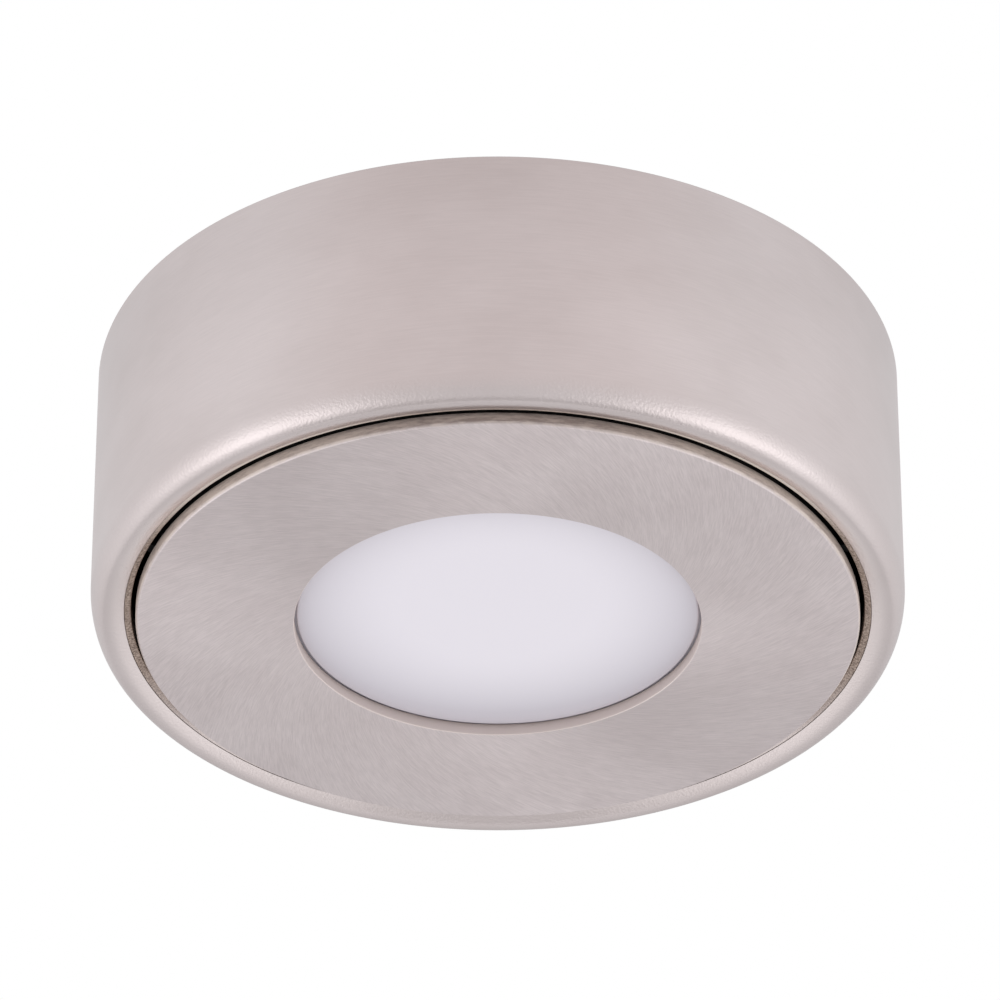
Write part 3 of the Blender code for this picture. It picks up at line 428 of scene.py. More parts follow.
def makeTurnedTree():
    # turns the points of a profile (x is the radius) about Z
    tree, given = newTree("turnedPiece", [("Sides", "NodeSocketInt"), ("Points", "NodeSocketInt"),
                                          ("Material", "NodeSocketMaterial")])
    columns = maths(tree, "ADD", given["Sides"], 1)
    grid = addNode(tree, "GeometryNodeMeshGrid", {"Vertices X": columns, "Vertices Y": given["Points"]})
    index = tree.nodes.new("GeometryNodeInputIndex").outputs[0]
    column = maths(tree, "FLOOR", maths(tree, "DIVIDE", maths(tree, "ADD", index, 0.5), given["Points"]))
    row = maths(tree, "SUBTRACT", index, product(tree, column, given["Points"]))
    profilePoint = addNode(tree, "GeometryNodeSampleIndex", {
        "Geometry": given["Geometry"], "Value": tree.nodes.new("GeometryNodeInputPosition").outputs[0],
        "Index": row}, data_type="FLOAT_VECTOR")
    angle = product(tree, maths(tree, "DIVIDE", column, given["Sides"]), math.tau)
    spot = turnedBy(tree, profilePoint.outputs["Value"], angle)
    placed = addNode(tree, "GeometryNodeSetPosition", {"Geometry": grid.outputs["Mesh"], "Position": spot})
    merged = addNode(tree, "GeometryNodeMergeByDistance", {"Geometry": placed.outputs[0], "Distance": 1e-6})
    smooth = addNode(tree, "GeometryNodeSetShadeSmooth", {0: merged.outputs[0], "Shade Smooth": True})
    endTree(tree, smooth.outputs[0], given["Material"])
    return tree


def makeRingTree():
    # repeats a piece round Z
    tree, given = newTree("ringOfPieces", [("Count", "NodeSocketInt"), ("Radius", "NodeSocketFloat"),
                                           ("Height", "NodeSocketFloat"), ("First Angle", "NodeSocketFloat"),
                                           ("Material", "NodeSocketMaterial")])
    line = addNode(tree, "GeometryNodeMeshLine", {"Count": given["Count"]})
    index = tree.nodes.new("GeometryNodeInputIndex").outputs[0]
    step = maths(tree, "DIVIDE", math.tau, given["Count"])
    angle = maths(tree, "ADD", product(tree, index, step), given["First Angle"])
    out = addNode(tree, "ShaderNodeCombineXYZ", {0: given["Radius"], 2: given["Height"]}).outputs[0]
    spot = turnedBy(tree, out, angle)
    placed = addNode(tree, "GeometryNodeSetPosition", {"Geometry": line.outputs[0], "Position": spot})
    turn = addNode(tree, "ShaderNodeCombineXYZ", {2: angle})
    copies = addNode(tree, "GeometryNodeInstanceOnPoints", {
        "Points": placed.outputs[0], "Instance": given["Geometry"], "Rotation": turn.outputs[0]})
    endTree(tree, copies.outputs[0], given["Material"])
    return tree


turnedTree = makeTurnedTree()
ringTree = makeRingTree()


def linkObject(name, mesh):
    made = bpy.data.objects.new(name, mesh)
    bpy.context.scene.collection.objects.link(made)
    return made


def grown(host, tree, values):
    # the tree's result as a plain mesh on the host
    modifier = host.modifiers.new(tree.name, "NODES")
    modifier.node_group = tree
    sockets = {item.name: item.identifier for item in tree.interface.items_tree
               if item.item_type == "SOCKET" and item.in_out == "INPUT"}
    for label, value in values.items():
        modifier[sockets[label]] = value
    return applied(host)


def applied(host):
    bpy.context.view_layer.update()
    ready = host.evaluated_get(bpy.context.evaluated_depsgraph_get())
    mesh = bpy.data.meshes.new_from_object(ready)
    mesh.name = host.name
    host.modifiers.clear()
    host.data = mesh
    return host


def outline(corners, steps=6):
    # a closed outline of (r, z, round) corners in millimetres, each round turned into an arc
    points = []
    for index, (r, z, bend) in enumerate(corners):
        here = Vector((r, z))
        if bend <= 0:
            points.append(here)
            continue
        toLast = (Vector(corners[index - 1][:2]) - here).normalized()
        toNext = (Vector(corners[(index + 1) % len(corners)][:2]) - here).normalized()
        half = toLast.angle(toNext) / 2
        centre = here + (toLast + toNext).normalized() * (bend / math.sin(half))
        first = here + toLast * (bend / math.tan(half)) - centre
        last = here + toNext * (bend / math.tan(half)) - centre
        sweep = first.angle_signed(last)
        arcSteps = max(1, math.ceil(steps * abs(sweep) / (math.pi / 2)))
        for step in range(arcSteps + 1):
            points.append(centre + Matrix.Rotation(-sweep * step / arcSteps, 2) @ first)
    return points


def turnedPiece(name, corners, finish, sides=192, steps=6):
    points = outline(corners, steps)
    points.append(points[0])
    mesh = bpy.data.meshes.new(name)
    mesh.from_pydata([(point[0] * mm, 0, point[1] * mm) for point in points], [], [])
    host = linkObject(name, mesh)
    grown(host, turnedTree, {"Sides": sides, "Points": len(points), "Material": finish})
    return tidied(host)


def tidied(host, sharpAngle=32):
    work = bmesh.new()
    work.from_mesh(host.data)
    bmesh.ops.remove_doubles(work, verts=work.verts, dist=1e-6)
    bmesh.ops.dissolve_degenerate(work, edges=work.edges, dist=1e-7)
    bmesh.ops.recalc_face_normals(work, faces=work.faces)
    for face in work.faces:
        face.smooth = True
    for edge in work.edges:
        edge.smooth = len(edge.link_faces) == 2 and edge.calc_face_angle(0) < math.radians(sharpAngle)
    work.to_mesh(host.data)
    work.free()
    return host


def blockMesh(work, low, high):
    low, high = Vector(low) * mm, Vector(high) * mm
    place = Matrix.Translation((low + high) / 2) @ Matrix.Diagonal((*(high - low), 1))
    bmesh.ops.create_cube(work, size=1.0, matrix=place)


def rodMesh(work, low, high, radius, topRadius=None, place=Matrix.Identity(4)):
    bmesh.ops.create_cone(work, cap_ends=True, segments=32, radius1=radius * mm,
                          radius2=(radius if topRadius is None else topRadius) * mm, depth=(high - low) * mm,
                          matrix=place @ Matrix.Translation((0, 0, (low + high) / 2 * mm)))


def prismMesh(work, points, move):
    # draws the outline out by the move and gives its far corners
    face = work.faces.new([work.verts.new(point) for point in points])
    moved = bmesh.ops.extrude_face_region(work, geom=[face])["geom"]
    far = [item for item in moved if isinstance(item, bmesh.types.BMVert)]
    bmesh.ops.translate(work, verts=far, vec=move)
    return far


def unitPiece(name, build):
    work = bmesh.new()
    build(work)
    bmesh.ops.recalc_face_normals(work, faces=work.faces)
    mesh = bpy.data.meshes.new(name)
    work.to_mesh(mesh)
    work.free()
    return linkObject(name, mesh)


def ringOf(unit, count, radius, angle, finish=None, height=0.0):
    # tools need no finish of their own
    values = {"Count": count, "Radius": radius * mm, "Height": height * mm,
              "First Angle": math.radians(angle)}
    if finish:
        values["Material"] = finish
    return grown(unit, ringTree, values)


def blocksRound(name, count, angle, radius, low, high):
    return ringOf(unitPiece(name, lambda work: blockMesh(work, low, high)), count, radius, angle)


def rodsRound(name, count, angle, radius, low, high, size, topSize=None):
    return ringOf(unitPiece(name, lambda work: rodMesh(work, low, high, size, topSize)), count, radius, angle)


def sideways(distance, height):
    # a frame whose Z runs outwards along X
    return Matrix.Translation((distance * mm, 0, height * mm)) @ Matrix.Rotation(math.pi / 2, 4, "Y")


def rodAt(name, low, high, radius, place):
    return unitPiece(name, lambda work: rodMesh(work, low, high, radius, place=place))


def combined(host, tools):
    # cuts or joins the tools one after the other, then removes them
    for operation, tool in tools:
        change = host.modifiers.new(tool.name, "BOOLEAN")
        change.operation = operation
        change.solver = "EXACT"
        change.object = tool
    applied(host)
    for _, tool in tools:
        bpy.data.objects.remove(tool)
    return host


def standsFor(piece, slot, *nodes):
    # cut faces take the piece's own finish
    mesh = piece.data
    finish = next(item for item in mesh.materials if item)
    mesh.materials.clear()
    mesh.materials.append(finish)
    for face in mesh.polygons:
        face.material_index = 0
    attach(piece, rootBody)
    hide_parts(*nodes)


# Housing shell

shellSize = {
    "radius": 36.0, "backRadius": 35.782, "height": 25.5, "wall": 1.0,
    "shoulder": 3.0, "rimRadius": 34.7, "rimHeight": 0.4, "innerOffset": 0.58, "innerRound": 2.0,
    "edgeHeight": 1.15, "edgeRound": 0.2, "opening": 32.4, "lipTop": 2.69,
    "lugLength": 4.8, "lugWidth": 6.0, "lugAngle": 30, "lugSet": 0.02, "holeCircle": 32.19,
    "holeRadius": 1.15, "sinkRadius": 1.95, "sinkDepth": 1.1,
    "notchWidth": 8.0, "notchDepth": 5.0, "notchNear": 20.0, "notchFar": 37.0,
}


def makeNotch(name):
    size = shellSize
    half, near, far = size["notchWidth"] / 2, size["notchNear"], size["notchFar"]
    top = size["height"] + 1
    middle = size["height"] - size["notchDepth"] + half
    arc = [math.pi * step / 24 for step in range(25)]
    shape = [(half * math.cos(turn), middle - half * math.sin(turn)) for turn in arc]
    shape = [(half, top), *shape, (-half, top)]
    return unitPiece(name, lambda work: prismMesh(
        work, [(x * mm, near * mm, z * mm) for x, z in shape], (0, (far - near) * mm, 0)))


def makeShell():
    size = shellSize
    wall, height = size["wall"], size["height"]
    shoulder, rim, low = size["shoulder"], size["rimRadius"], size["rimHeight"]
    roll = [math.radians(angle) for angle in range(0, 89, 4)]
    corners = [
        (size["backRadius"], height, 0.2),
        *[(rim + (size["radius"] - rim) * math.cos(turn), shoulder - (shoulder - low) * math.sin(turn), 0)
          for turn in roll],
        (rim - size["innerOffset"], low, size["innerRound"]),
        (size["opening"], size["edgeHeight"], size["edgeRound"]),
        (size["opening"], size["lipTop"], 0.12),
        (size["opening"] + wall, size["lipTop"], 0.12),
        (size["opening"] + wall, size["edgeHeight"] + wall, 0.2),
        (size["radius"] - 1.25 * wall, low + wall, 0.3),
        (size["radius"] - wall, shoulder, 0.4),
        (size["backRadius"] - wall, height, 0.08),
    ]
    shell = turnedPiece("housingShell", corners, finishes["housing"], sides=256, steps=14)
    angle, circle, side = size["lugAngle"], size["holeCircle"], size["lugWidth"] / 2
    lugs = blocksRound("lugs", 3, angle, size["backRadius"] - wall / 2,
                       (-size["lugLength"] - wall / 2, -side, height - wall),
                       (0, side, height - size["lugSet"]))
    hole, deep = size["holeRadius"], size["sinkDepth"]
    holes = rodsRound("lugHoles", 3, angle, circle, height - 3, height + 1, hole)
    slope = (size["sinkRadius"] - hole) / deep
    sinks = rodsRound("lugSinks", 3, angle, circle, height - deep, height + 1, hole, size["sinkRadius"] + slope)
    combined(shell, [("UNION", lugs), ("DIFFERENCE", holes), ("DIFFERENCE", sinks),
                     ("DIFFERENCE", makeNotch("shellNotch"))])
    standsFor(tidied(shell), "housing_nickel", "housing_shell")


makeShell()
print("housing shell made")


# Face ring and lens

def makeFace():
    size = faceSize
    radius, back, hole = size["radius"], size["thickness"], size["holeRadius"]
    spigot, end = size["spigotRadius"], size["spigotTop"]
    bore = spigot - size["spigotWall"]
    corners = [
        (radius, back, 0.1),
        (radius, size["rollHeight"], 0.2),
        (size["frontRadius"], 0, size["edgeRound"]),
        (hole, 0, size["holeRound"]),
        (hole, back, 0.1),
        (bore, back, 0),
        (bore, end, 0.1),
        (spigot, end, 0.1),
        (spigot, back, 0),
    ]
    ring = turnedPiece("faceRing", corners, finishes["face"], sides=256, steps=5)
    circle, top = size["bossCircle"], size["bossTop"]
    bosses = rodsRound("bosses", 3, 90, circle, back / 2, top, size["bossRadius"])
    threads = rodsRound("threads", 3, 90, circle, size["threadLow"], top + 1, size["threadRadius"])
    combined(ring, [("UNION", bosses), ("DIFFERENCE", threads)])
    standsFor(tidied(ring), "face_nickel", "face_ring")


lensSize = {"radius": 20.6, "noseRadius": 17.8, "front": 1.0, "seat": 1.4, "back": 2.9, "edgeRound": 0.2}


def makeLens():
    size = lensSize
    corners = [
        (0, size["back"], 0),
        (size["radius"], size["back"], 0.15),
        (size["radius"], size["seat"], 0.1),
        (size["noseRadius"], size["seat"], 0),
        (size["noseRadius"], size["front"], size["edgeRound"]),
        (0, size["front"], 0),
    ]
    lens = turnedPiece("opalLens", corners, finishes["opal"], sides=160, steps=5)
    standsFor(lens, "opal_acrylic", "opal_lens")


makeFace()
makeLens()
print("face ring and lens made")


# Moulded base

baseSize = {
    "radius": 34.58, "height": 25.5, "floor": 23.5, "low": 1.4,
    "collar": 31.0, "bore": 29.2, "opening": 21.5,
    "ribCount": 12, "ribWidth": 1.2, "ribRoot": 30.1, "ribReach": 34.4, "ribLow": 2.9,
    "bossRadius": 2.15, "bossLow": 17.5, "pilotRadius": 1.15, "pilotLow": 18.0,
    "recessReach": 6.0, "recessWidth": 6.4, "recessDepth": 1.2,
    "woodCircle": 25.35, "woodRadius": 1.9, "sinkRadius": 4.3, "sinkDepth": 1.4,
}


def makeBase():
    size = baseSize
    height, floor = size["height"], size["floor"]
    corners = [
        (size["radius"], height, 0.15),
        (size["radius"], floor, 0.25),
        (size["collar"], floor, 0.5),
        (size["collar"], size["low"], 0.2),
        (size["bore"], size["low"], 0.2),
        (size["bore"], floor, 0.4),
        (size["opening"], floor, 0.3),
        (size["opening"], height, 0.3),
    ]
    base = turnedPiece("mountingBase", corners, finishes["blackPlastic"], steps=4)
    angle, circle = shellSize["lugAngle"], shellSize["holeCircle"]
    half = size["ribWidth"] / 2
    ribs = blocksRound("ribs", size["ribCount"], 180 / size["ribCount"], 0,
                       (size["ribRoot"], -half, size["ribLow"]), (size["ribReach"], half, floor + 1))
    bosses = rodsRound("baseBosses", 3, angle, circle, size["bossLow"], floor + 1, size["bossRadius"])
    side = size["recessWidth"] / 2
    recesses = blocksRound("lugRecesses", 3, angle, shellSize["backRadius"],
                           (-size["recessReach"], -side, height - size["recessDepth"]), (1, side, height + 1))
    pilots = rodsRound("pilots", 3, angle, circle, size["pilotLow"], height + 1, size["pilotRadius"])
    wood = size["woodCircle"]
    woodHoles = rodsRound("woodHoles", 2, 0, wood, floor - 1, height + 1, size["woodRadius"])
    woodSinks = rodsRound("woodSinks", 2, 0, wood, floor - 1, floor + size["sinkDepth"], size["sinkRadius"],
                          size["woodRadius"])
    combined(base, [("UNION", ribs), ("UNION", bosses), ("DIFFERENCE", recesses), ("DIFFERENCE", pilots),
                    ("DIFFERENCE", woodHoles), ("DIFFERENCE", woodSinks),
                    ("DIFFERENCE", makeNotch("baseNotch"))])
    standsFor(tidied(base), "black_plastic", "mounting_base")


makeBase()
print("base made")


# Lamp body with its cooling fins

bodySize = {
    "radius": 28.4, "bore": 26.5, "low": 1.4, "floor": 9.0, "floorBack": 11.2, "finTop": 13.8,
    "finInside": 19.81, "wireHole": 1.35, "edgeRound": 0.6,
    "slotCount": 24, "slotWidth": 2.4, "slotLow": 11.3,
    "pocketFloor": 27.4, "pocketWidth": 6.8, "pocketLow": 3.2,
    "faceScrewCircle": 24.0, "boardScrewCircle": 22.0, "coverScrewCircle": 15.307,
    "screwHole": 1.15, "holeGap": 0.4, "seatRadius": 2.0, "rivetHole": 0.85, "rivetDepth": 3.2,
    "rivetHeight": 10.1,
}


def makeBody():
    size = bodySize
    top, back = size["finTop"], size["floorBack"]
    corners = [
        (size["radius"], top, size["edgeRound"]),
        (size["radius"], size["low"], size["edgeRound"] / 2),
        (size["bore"], size["low"], 0.15),
        (size["bore"], size["floor"], 0.4),
        (size["wireHole"], size["floor"], 0.1),
        (size["wireHole"], back, 0.1),
        (size["finInside"], back, 0.3),
        (size["finInside"], top, size["edgeRound"]),
    ]
    body = turnedPiece("lampBody", corners, finishes["castAluminium"], steps=4)
    slotSide, pocketSide, out = size["slotWidth"] / 2, size["pocketWidth"] / 2, size["radius"] + 1
    slots = blocksRound("finSlots", size["slotCount"], 180 / size["slotCount"], 0,
                        (size["finInside"] - 1, -slotSide, size["slotLow"]), (out, slotSide, top + 1))
    pockets = blocksRound("clipPockets", 3, 60, 0, (size["pocketFloor"], -pocketSide, size["pocketLow"]),
                          (out, pocketSide, top + 1))
    rivetHoles = ringOf(rodAt("rivetHoles", -size["rivetDepth"], 1, size["rivetHole"],
                              sideways(size["pocketFloor"], size["rivetHeight"])), 3, 0, 60)
    hole, gap, floor = size["screwHole"], size["holeGap"], size["floor"]
    holes = [rodsRound(name, 3, angle, circle, low, high, radius)
             for name, angle, circle, low, high, radius in (
                 ("faceScrewHoles", 90, size["faceScrewCircle"], floor - 1, top + 1, hole),
                 ("screwSeats", 90, size["faceScrewCircle"], size["slotLow"], top + 1, size["seatRadius"]),
                 ("boardScrewHoles", 30, size["boardScrewCircle"], floor - 1, back - gap, hole),
                 ("coverScrewHoles", 30, size["coverScrewCircle"], floor + gap, back + 1, hole))]
    combined(body, [("DIFFERENCE", tool) for tool in (slots, pockets, rivetHoles, *holes)])
    standsFor(tidied(body), "cast_aluminium", "lamp_body")


makeBody()
print("lamp body made")


# Rear cover and the gland for the lead

coverSize = {
    "radius": 13.007, "flangeRadius": 17.607, "wall": 1.2, "low": 11.4, "top": 19.8, "topRound": 1.6,
    "glandHole": 1.95, "glandHoleDepth": 2.4, "screwHole": 1.15,
    "glandHeight": 15.4, "glandRadius": 1.8, "glandLip": 2.6, "glandBore": 1.1,
    "glandEnd": 2.6, "glandLipBack": (1.35, 1.0), "glandLipFront": 0.2, "glandInside": -1.66,
    "glandTaper": 0.8,
}


def glandPlace():
    return Matrix.Rotation(math.pi / 2, 4, "Z") @ sideways(coverSize["radius"], coverSize["glandHeight"])


def makeCover():
    size = coverSize
    wall, low = size["wall"], size["low"]
    inner = size["radius"] - wall
    corners = [
        (0, size["top"], 0),
        (size["radius"], size["top"], size["topRound"]),
        (size["radius"], low + wall, 0.3),
        (size["flangeRadius"], low + wall, 0.25),
        (size["flangeRadius"], low, 0.15),
        (inner, low, 0.15),
        (inner, size["top"] - wall, size["topRound"] - wall),
        (0, size["top"] - wall, 0),
    ]
    cover = turnedPiece("rearCover", corners, finishes["blackPlastic"], sides=128)
    glandHole = rodAt("glandHole", -size["glandHoleDepth"], 1, size["glandHole"], glandPlace())
    holes = rodsRound("coverHoles", 3, 30, bodySize["coverScrewCircle"], low - 1, low + wall + 1,
                      size["screwHole"])
    combined(cover, [("DIFFERENCE", glandHole), ("DIFFERENCE", holes)])
    standsFor(tidied(cover), "black_plastic", "rear_cover")


def makeGland():
    size = coverSize
    neck, lip, bore, inside = size["glandRadius"], size["glandLip"], size["glandBore"], size["glandInside"]
    end, front, far = size["glandEnd"], size["glandLipFront"], inside - size["glandTaper"]
    lipNeck, lipEdge = size["glandLipBack"]
    corners = [
        (neck, end, 0.3),
        (neck, lipNeck, 0.2),
        (lip, lipEdge, 0.2),
        (lip, front, 0.1),
        (neck, front, 0),
        (neck, inside, 0),
        (lip, inside, 0.1),
        (neck, far, 0.1),
        (bore, far, 0.1),
        (bore, end, 0.1),
    ]
    gland = turnedPiece("leadGland", corners, finishes["blackRubber"], sides=48, steps=4)
    gland.data.transform(glandPlace())
    standsFor(tidied(gland), "black_rubber", "lead_gland")


makeCover()
makeGland()
print("rear cover and gland made")


# Screws, each ring of three one piece

screwSize = {
    "shaft": 1.0, "head": 1.8, "headHeight": 1.1, "pitch": 0.5, "threadDepth": 0.16,
    "sunkNeck": 0.2, "panNeck": 0.4, "tipLength": 0.3, "tipInset": 0.35,
    "crossReach": 1.0, "crossHalf": 0.24, "crossDepth": 0.55, "crossTaper": 0.72,
}
screwRings = {
    # ring: (nodes, radius, angle, height, length, countersunk, upside down)
    "shellScrews": ("shell_screw", 32.19, 30, 25.5, 5.0, True, False),
    "faceScrews": ("face_screw", 24.0, 90, 11.5, 5.0, False, False),
    "coverScrews": ("cover_screw", 15.307, 30, 12.8, 3.2, False, False),
    "boardScrews": ("board_screw", 22.0, 30, 6.7, 3.9, False, True),
}


def makeScrew(name, length, countersunk):
    size = screwSize
    shaft, head, high = size["shaft"], size["head"], size["headHeight"]
    if countersunk:
        corners = [(0, 0, 0), (head, 0, 0.06), (shaft, -high, 0.1)]
        top, start = 0.0, -high - size["sunkNeck"]
    else:
        corners = [(0, high, 0), (head, high, 0.6), (head, 0, 0.08), (shaft, 0, 0)]
        top, start = high, -size["panNeck"]
    root, pitch, tip = shaft - size["threadDepth"], size["pitch"], size["tipLength"]
    for turn in range(int((length + start - tip) / pitch)):
        z = start - turn * pitch
        corners += [(shaft, z, 0), (root, z - pitch / 2, 0)]
    corners += [(root, -length + tip, 0), (shaft - size["tipInset"], -length, 0), (0, -length, 0)]
    screw = turnedPiece(name, corners, finishes["zincSteel"], sides=36, steps=4)
    reach, half = size["crossReach"], size["crossHalf"]
    arm = [(reach, half), (half, half), (half, reach)]
    turns = [Matrix.Rotation(quarter * math.pi / 2, 2) for quarter in range(4)]
    shape = [turn @ Vector(point) for turn in turns for point in arm]

    def cross(work):
        deep = prismMesh(work, [(point[0] * mm, point[1] * mm, (top + 1) * mm) for point in shape],
                         (0, 0, -(1 + size["crossDepth"]) * mm))
        bmesh.ops.scale(work, verts=deep, vec=(size["crossTaper"], size["crossTaper"], 1))

    return tidied(combined(screw, [("DIFFERENCE", unitPiece("cross", cross))]))


for ringName, (nodes, radius, angle, height, length, countersunk, flipped) in screwRings.items():
    screw = makeScrew(ringName, length, countersunk)
    if flipped:
        screw.data.transform(Matrix.Rotation(math.pi, 4, "X"))
    ringOf(screw, 3, radius, angle, finishes["zincSteel"], height)
    standsFor(tidied(screw), "zinc_steel", *[f"{nodes}_{number}" for number in (1, 2, 3)])
print("screws made:", 3 * len(screwRings))


# Springs and their rivets

springSize = {
    "foot": 27.95, "bow": 28.78, "top": 13.6, "bend": 8.8, "low": 3.6, "bendRound": 1.2,
    "width": 6.4, "thickness": 0.35, "edgeRound": 0.06, "rivetHole": 0.85,
    "rivetRadius": 0.7, "rivetLength": 3.0, "rivetHead": 1.3, "rivetHeadHeight": 0.45,
}


def makeSprings():
    size = springSize
    half, thick = size["width"] / 2, size["thickness"]
    middle = (size["bend"] + size["low"]) / 2
    front = [(size["foot"], size["top"], 0), (size["foot"], size["bend"], size["bendRound"]),
             (size["bow"], middle, size["bendRound"]), (size["foot"], size["low"], 0)]
    inside = size["foot"] - 9       # only closes the outline
    line = outline(front + [(inside, size["low"], 0), (inside, size["top"], 0)], 10)[:-2]

    def strip(work):
        rows = [[work.verts.new((r * mm, side * half * mm, z * mm)) for r, z in line] for side in (1, -1)]
        for step in range(len(line) - 1):
            work.faces.new((rows[0][step], rows[1][step], rows[1][step + 1], rows[0][step + 1]))

    spring = unitPiece("springClips", strip)
    if any(face.normal.x < 0 for face in spring.data.polygons):
        spring.data.flip_normals()
    leaf = spring.modifiers.new("leaf", "SOLIDIFY")
    leaf.thickness, leaf.offset, leaf.use_even_offset = thick * mm, -1.0, True
    edge = spring.modifiers.new("edge", "BEVEL")
    edge.width, edge.segments, edge.angle_limit = size["edgeRound"] * mm, 2, math.radians(50)
    applied(spring)
    hole = rodAt("springHole", -1, 2, size["rivetHole"],
                 sideways(bodySize["pocketFloor"], bodySize["rivetHeight"]))
    combined(spring, [("DIFFERENCE", hole)])
    ringOf(spring, 3, 0, 60, finishes["springSteel"])
    standsFor(tidied(spring), "spring_steel", "spring_clip_1", "spring_clip_2", "spring_clip_3")


def makeRivets():
    size = springSize
    head, high, shaft = size["rivetHead"], size["rivetHeadHeight"], size["rivetRadius"]
    rivet = turnedPiece("clipRivets", [(0, high, 0), (head, high, 0.32), (head, 0, 0.05), (shaft, 0, 0),
                                       (shaft, -size["rivetLength"], 0.15), (0, -size["rivetLength"], 0)],
                        finishes["zincSteel"], sides=36, steps=5)
    rivet.data.transform(sideways(size["foot"] + 0.1, bodySize["rivetHeight"]))
    ringOf(rivet, 3, 0, 60, finishes["zincSteel"])
    standsFor(tidied(rivet), "zinc_steel", "clip_rivet_1", "clip_rivet_2", "clip_rivet_3")


makeSprings()
makeRivets()
print("springs made")


# LEDs

ledSize = {
    "length": 3.5, "width": 2.8, "height": 0.7, "middle": 6.35, "wall": 0.3, "windowDepth": 0.14,
    "cornerRound": 0.15, "windowSlope": 0.12,
    "rings": ((3, 5.22, 1), (9, 13.14, 4)),       # count, radius and first number of each ring
}


def makeLed(name):
    size = ledSize
    length, width, high = size["length"] / 2, size["width"] / 2, size["height"] / 2

    def package(work):
        blockMesh(work, (-length, -width, -high), (length, width, high))
        upright = [edge for edge in work.edges if abs(edge.verts[0].co.z - edge.verts[1].co.z) > 1e-5]
        bmesh.ops.bevel(work, geom=upright, offset=size["cornerRound"] * mm, segments=3, affect="EDGES")
        window = min(work.faces, key=lambda face: face.calc_center_median().z)
        bmesh.ops.inset_individual(work, faces=[window], thickness=size["wall"] * mm)
        bmesh.ops.inset_individual(work, faces=[window], thickness=size["windowSlope"] * mm,
                                   depth=-size["windowDepth"] * mm)

    return unitPiece(name, package)


for count, radius, first in ledSize["rings"]:
    leds = ringOf(makeLed("leds" + str(count)), count, radius, 90, finishes["ledPhosphor"], ledSize["middle"])
    standsFor(tidied(leds), "led_phosphor", *[f"led_{number:02d}" for number in range(first, first + count)])
print("leds made")


# CAD nodes that keep their shape

nodeFinish = {
    "reflector_ring": "whitePlastic", "led_board": "boardWhite", "thermal_pad": "greySilicone",
    "terminal_block": "greenPlastic", "terminal_screw": "zincSteel", "inner_wire_1": "redCable",
    "inner_wire_2": "blackCable",
}
for nodeName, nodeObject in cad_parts.items():
    for start, finishName in nodeFinish.items():
        if nodeName.startswith(start):
            for materialSlot in nodeObject.material_slots:
                materialSlot.material = finishes[finishName]


# Camera

cameraView = {
    "elevation": 32.9,              # below the horizontal, looking up
    "distance": 0.9,
    "pixelsPerRadius": 407.5,       # in the 1000 px frame
    "targetHeight": 0.5,            # the rim's lowest circle, in mm
    "targetPixel": (497.8, 621.5),
    "frame": 1000,
    "sensor": 36.0,
}


def addCamera():
    view = cameraView
    lift = math.radians(view["elevation"])
    target = Vector((0, 0, view["targetHeight"] * mm))
    forward = Vector((0, math.cos(lift), math.sin(lift)))
    right = Vector((1, 0, 0))
    up = right.cross(forward)
    focal = view["pixelsPerRadius"] * view["distance"] / (shellSize["radius"] * mm)
    place = target - forward * view["distance"]
    middle = view["frame"] / 2
    aim = target - right * ((view["targetPixel"][0] - middle) / focal * view["distance"])
    aim += up * ((view["targetPixel"][1] - middle) / focal * view["distance"])
    data = bpy.data.cameras.new("camera")
    data.sensor_width = view["sensor"]
    data.lens = focal * view["sensor"] / view["frame"]
    data.clip_start, data.clip_end = 0.01, 50
    camera = linkObject("camera", data)
    camera.location = place
    camera.rotation_euler = (aim - place).to_track_quat("-Z", "Y").to_euler()
    bpy.context.scene.camera = camera


addCamera()


# Light and floor

studio = {
    "level": 0.86,                  # what the room gives back all round
    "sideGlow": (0.15, 0.75, 0.0, 0.13),
    "mattLevel": 0.86,              # matt things see a dimmer room
    "glows": (                      # azimuth, elevation, width and gain of what stands beside the camera
        (70, -24, 0.80, 0.48),
        (108, -32, 0.90, 0.18),
        (135, -58, 0.55, 0.18),
        (180, 18, 0.60, -0.10),
        (165, -60, 0.60, 0.10),
    ),
    "glowHeight": 0.65,             # the glows are taller than wide
    "backLoss": (0.05, 0.6, 0.0, -0.06),        # beyond the light, seen at the ends of the wall
    "tint": (1.0, 1.0, 1.01),
    "nearTint": (1.10, 1.055, 1.055), "nearAim": (0, -0.83, 0.56), "nearRange": (0.55, 0.95),
    "boxAzimuth": 67, "boxElevation": -25, "boxDistance": 1.3, "boxSize": (0.9, 1.1), "boxPower": 1.25,
    "floorHeight": -6.0, "floorSize": 5.0, "floorTones": (0.79, 0.83),
}


def aimAt(azimuth, elevation):
    # a direction from the light, azimuth 0 towards the camera
    turn, lift = math.radians(azimuth), math.radians(elevation)
    return Vector((math.sin(turn) * math.cos(lift), -math.cos(turn) * math.cos(lift), math.sin(lift)))


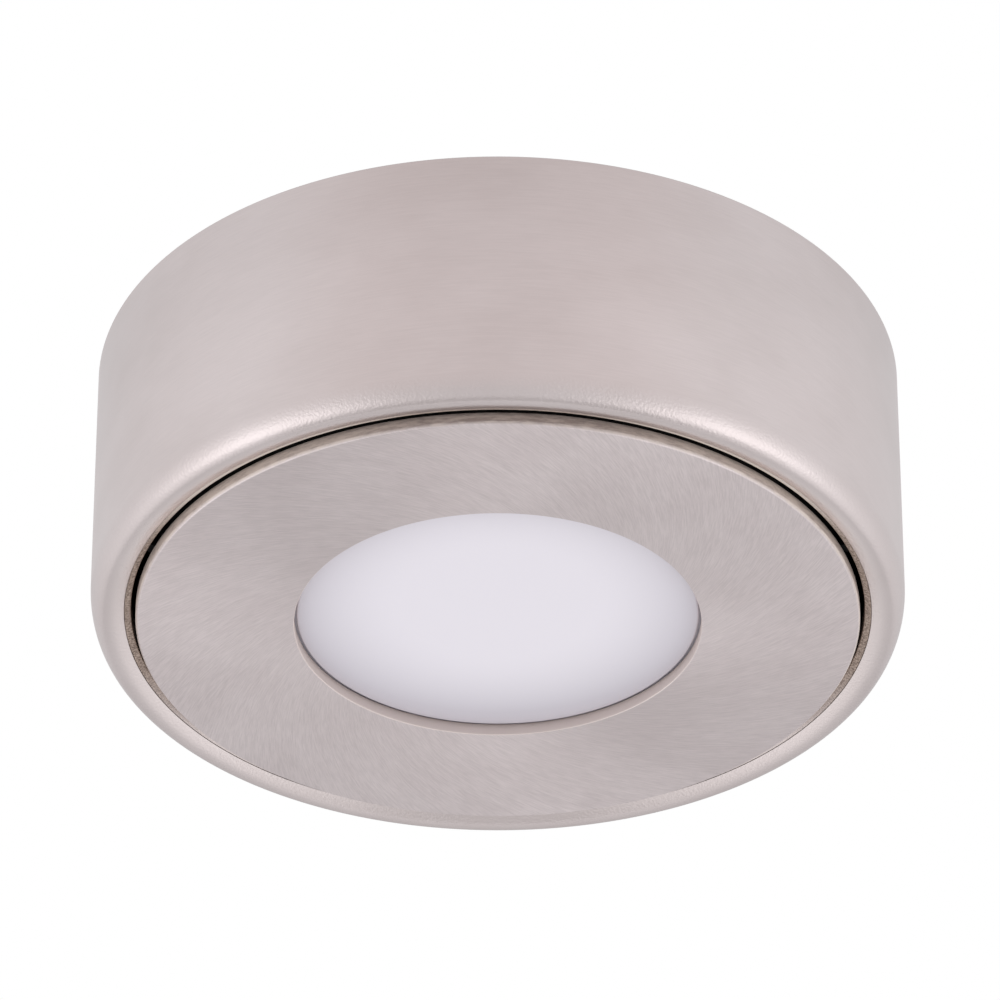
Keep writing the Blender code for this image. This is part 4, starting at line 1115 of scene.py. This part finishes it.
def addWorld():
    # the camera sees plain white, the metal sees a soft room with brighter sides
    world = bpy.data.worlds.new("studio")
    bpy.context.scene.world = world
    world.use_nodes = True
    tree = world.node_tree
    aim = vectorMaths(tree, "NORMALIZE", addNode(tree, "ShaderNodeTexCoord").outputs["Generated"])
    apart = addNode(tree, "ShaderNodeSeparateXYZ", {0: aim}).outputs
    across = maths(tree, "ABSOLUTE", apart["X"])
    level = maths(tree, "ADD", remap(tree, across, *studio["sideGlow"]), studio["level"])
    folded = addNode(tree, "ShaderNodeCombineXYZ", {0: across, 1: apart["Y"], 2: apart["Z"]}).outputs[0]
    for azimuth, elevation, width, gain in studio["glows"]:
        away = vectorMaths(tree, "SUBTRACT", folded, aimAt(azimuth, elevation))
        away = vectorMaths(tree, "LENGTH", vectorMaths(tree, "MULTIPLY", away, (1, 1, studio["glowHeight"])))
        level = maths(tree, "ADD", level, remap(tree, away, width, 0.0, 0.0, gain))
    level = maths(tree, "ADD", level, remap(tree, apart["Y"], *studio["backLoss"]))
    warm = remap(tree, vectorMaths(tree, "DOT_PRODUCT", aim, studio["nearAim"]), *studio["nearRange"])
    tone = mixColour(tree, warm, rgb(studio["tint"]), rgb(studio["nearTint"]))
    path = addNode(tree, "ShaderNodeLightPath").outputs
    camera = path["Is Camera Ray"]
    level = product(tree, level, remap(tree, path["Is Diffuse Ray"], 0.0, 1.0, 1.0, studio["mattLevel"]))
    ground = tree.nodes["Background"]
    tree.links.new(mixColour(tree, camera, tone, (1, 1, 1, 1)), ground.inputs["Color"])
    tree.links.new(mixValue(tree, camera, level, 1.0), ground.inputs["Strength"])


def addSoftboxes():
    for side, name in ((-1, "softboxLeft"), (1, "softboxRight")):
        aim = aimAt(side * studio["boxAzimuth"], studio["boxElevation"])
        data = bpy.data.lights.new(name, "AREA")
        data.shape = "ELLIPSE"
        data.size, data.size_y = studio["boxSize"]
        data.energy = studio["boxPower"]
        light = linkObject(name, data)
        light.location = aim * studio["boxDistance"]
        light.rotation_euler = (-aim).to_track_quat("-Z", "Y").to_euler()
        light.visible_camera = False
        light.visible_diffuse = False


def addFloor():
    finish, tree, shader, place = newFinish("paleFloor", (0.8, 0.8, 0.8), 0.6)
    dark, light = (rgb((tone, tone, tone)) for tone in studio["floorTones"])
    tree.links.new(mixColour(tree, noise(tree, place, 3.0), dark, light), shader.inputs["Base Color"])
    half, height = studio["floorSize"] / 2, studio["floorHeight"]
    mesh = bpy.data.meshes.new("floor")
    mesh.from_pydata([(-half, -half, height), (half, -half, height), (half, half, height),
                      (-half, half, height)], [], [(0, 1, 2, 3)])
    mesh.materials.append(finish)
    linkObject("floor", mesh)


addWorld()
addSoftboxes()
addFloor()
bpy.context.scene.view_settings.view_transform = "Standard"
print("camera and studio made")
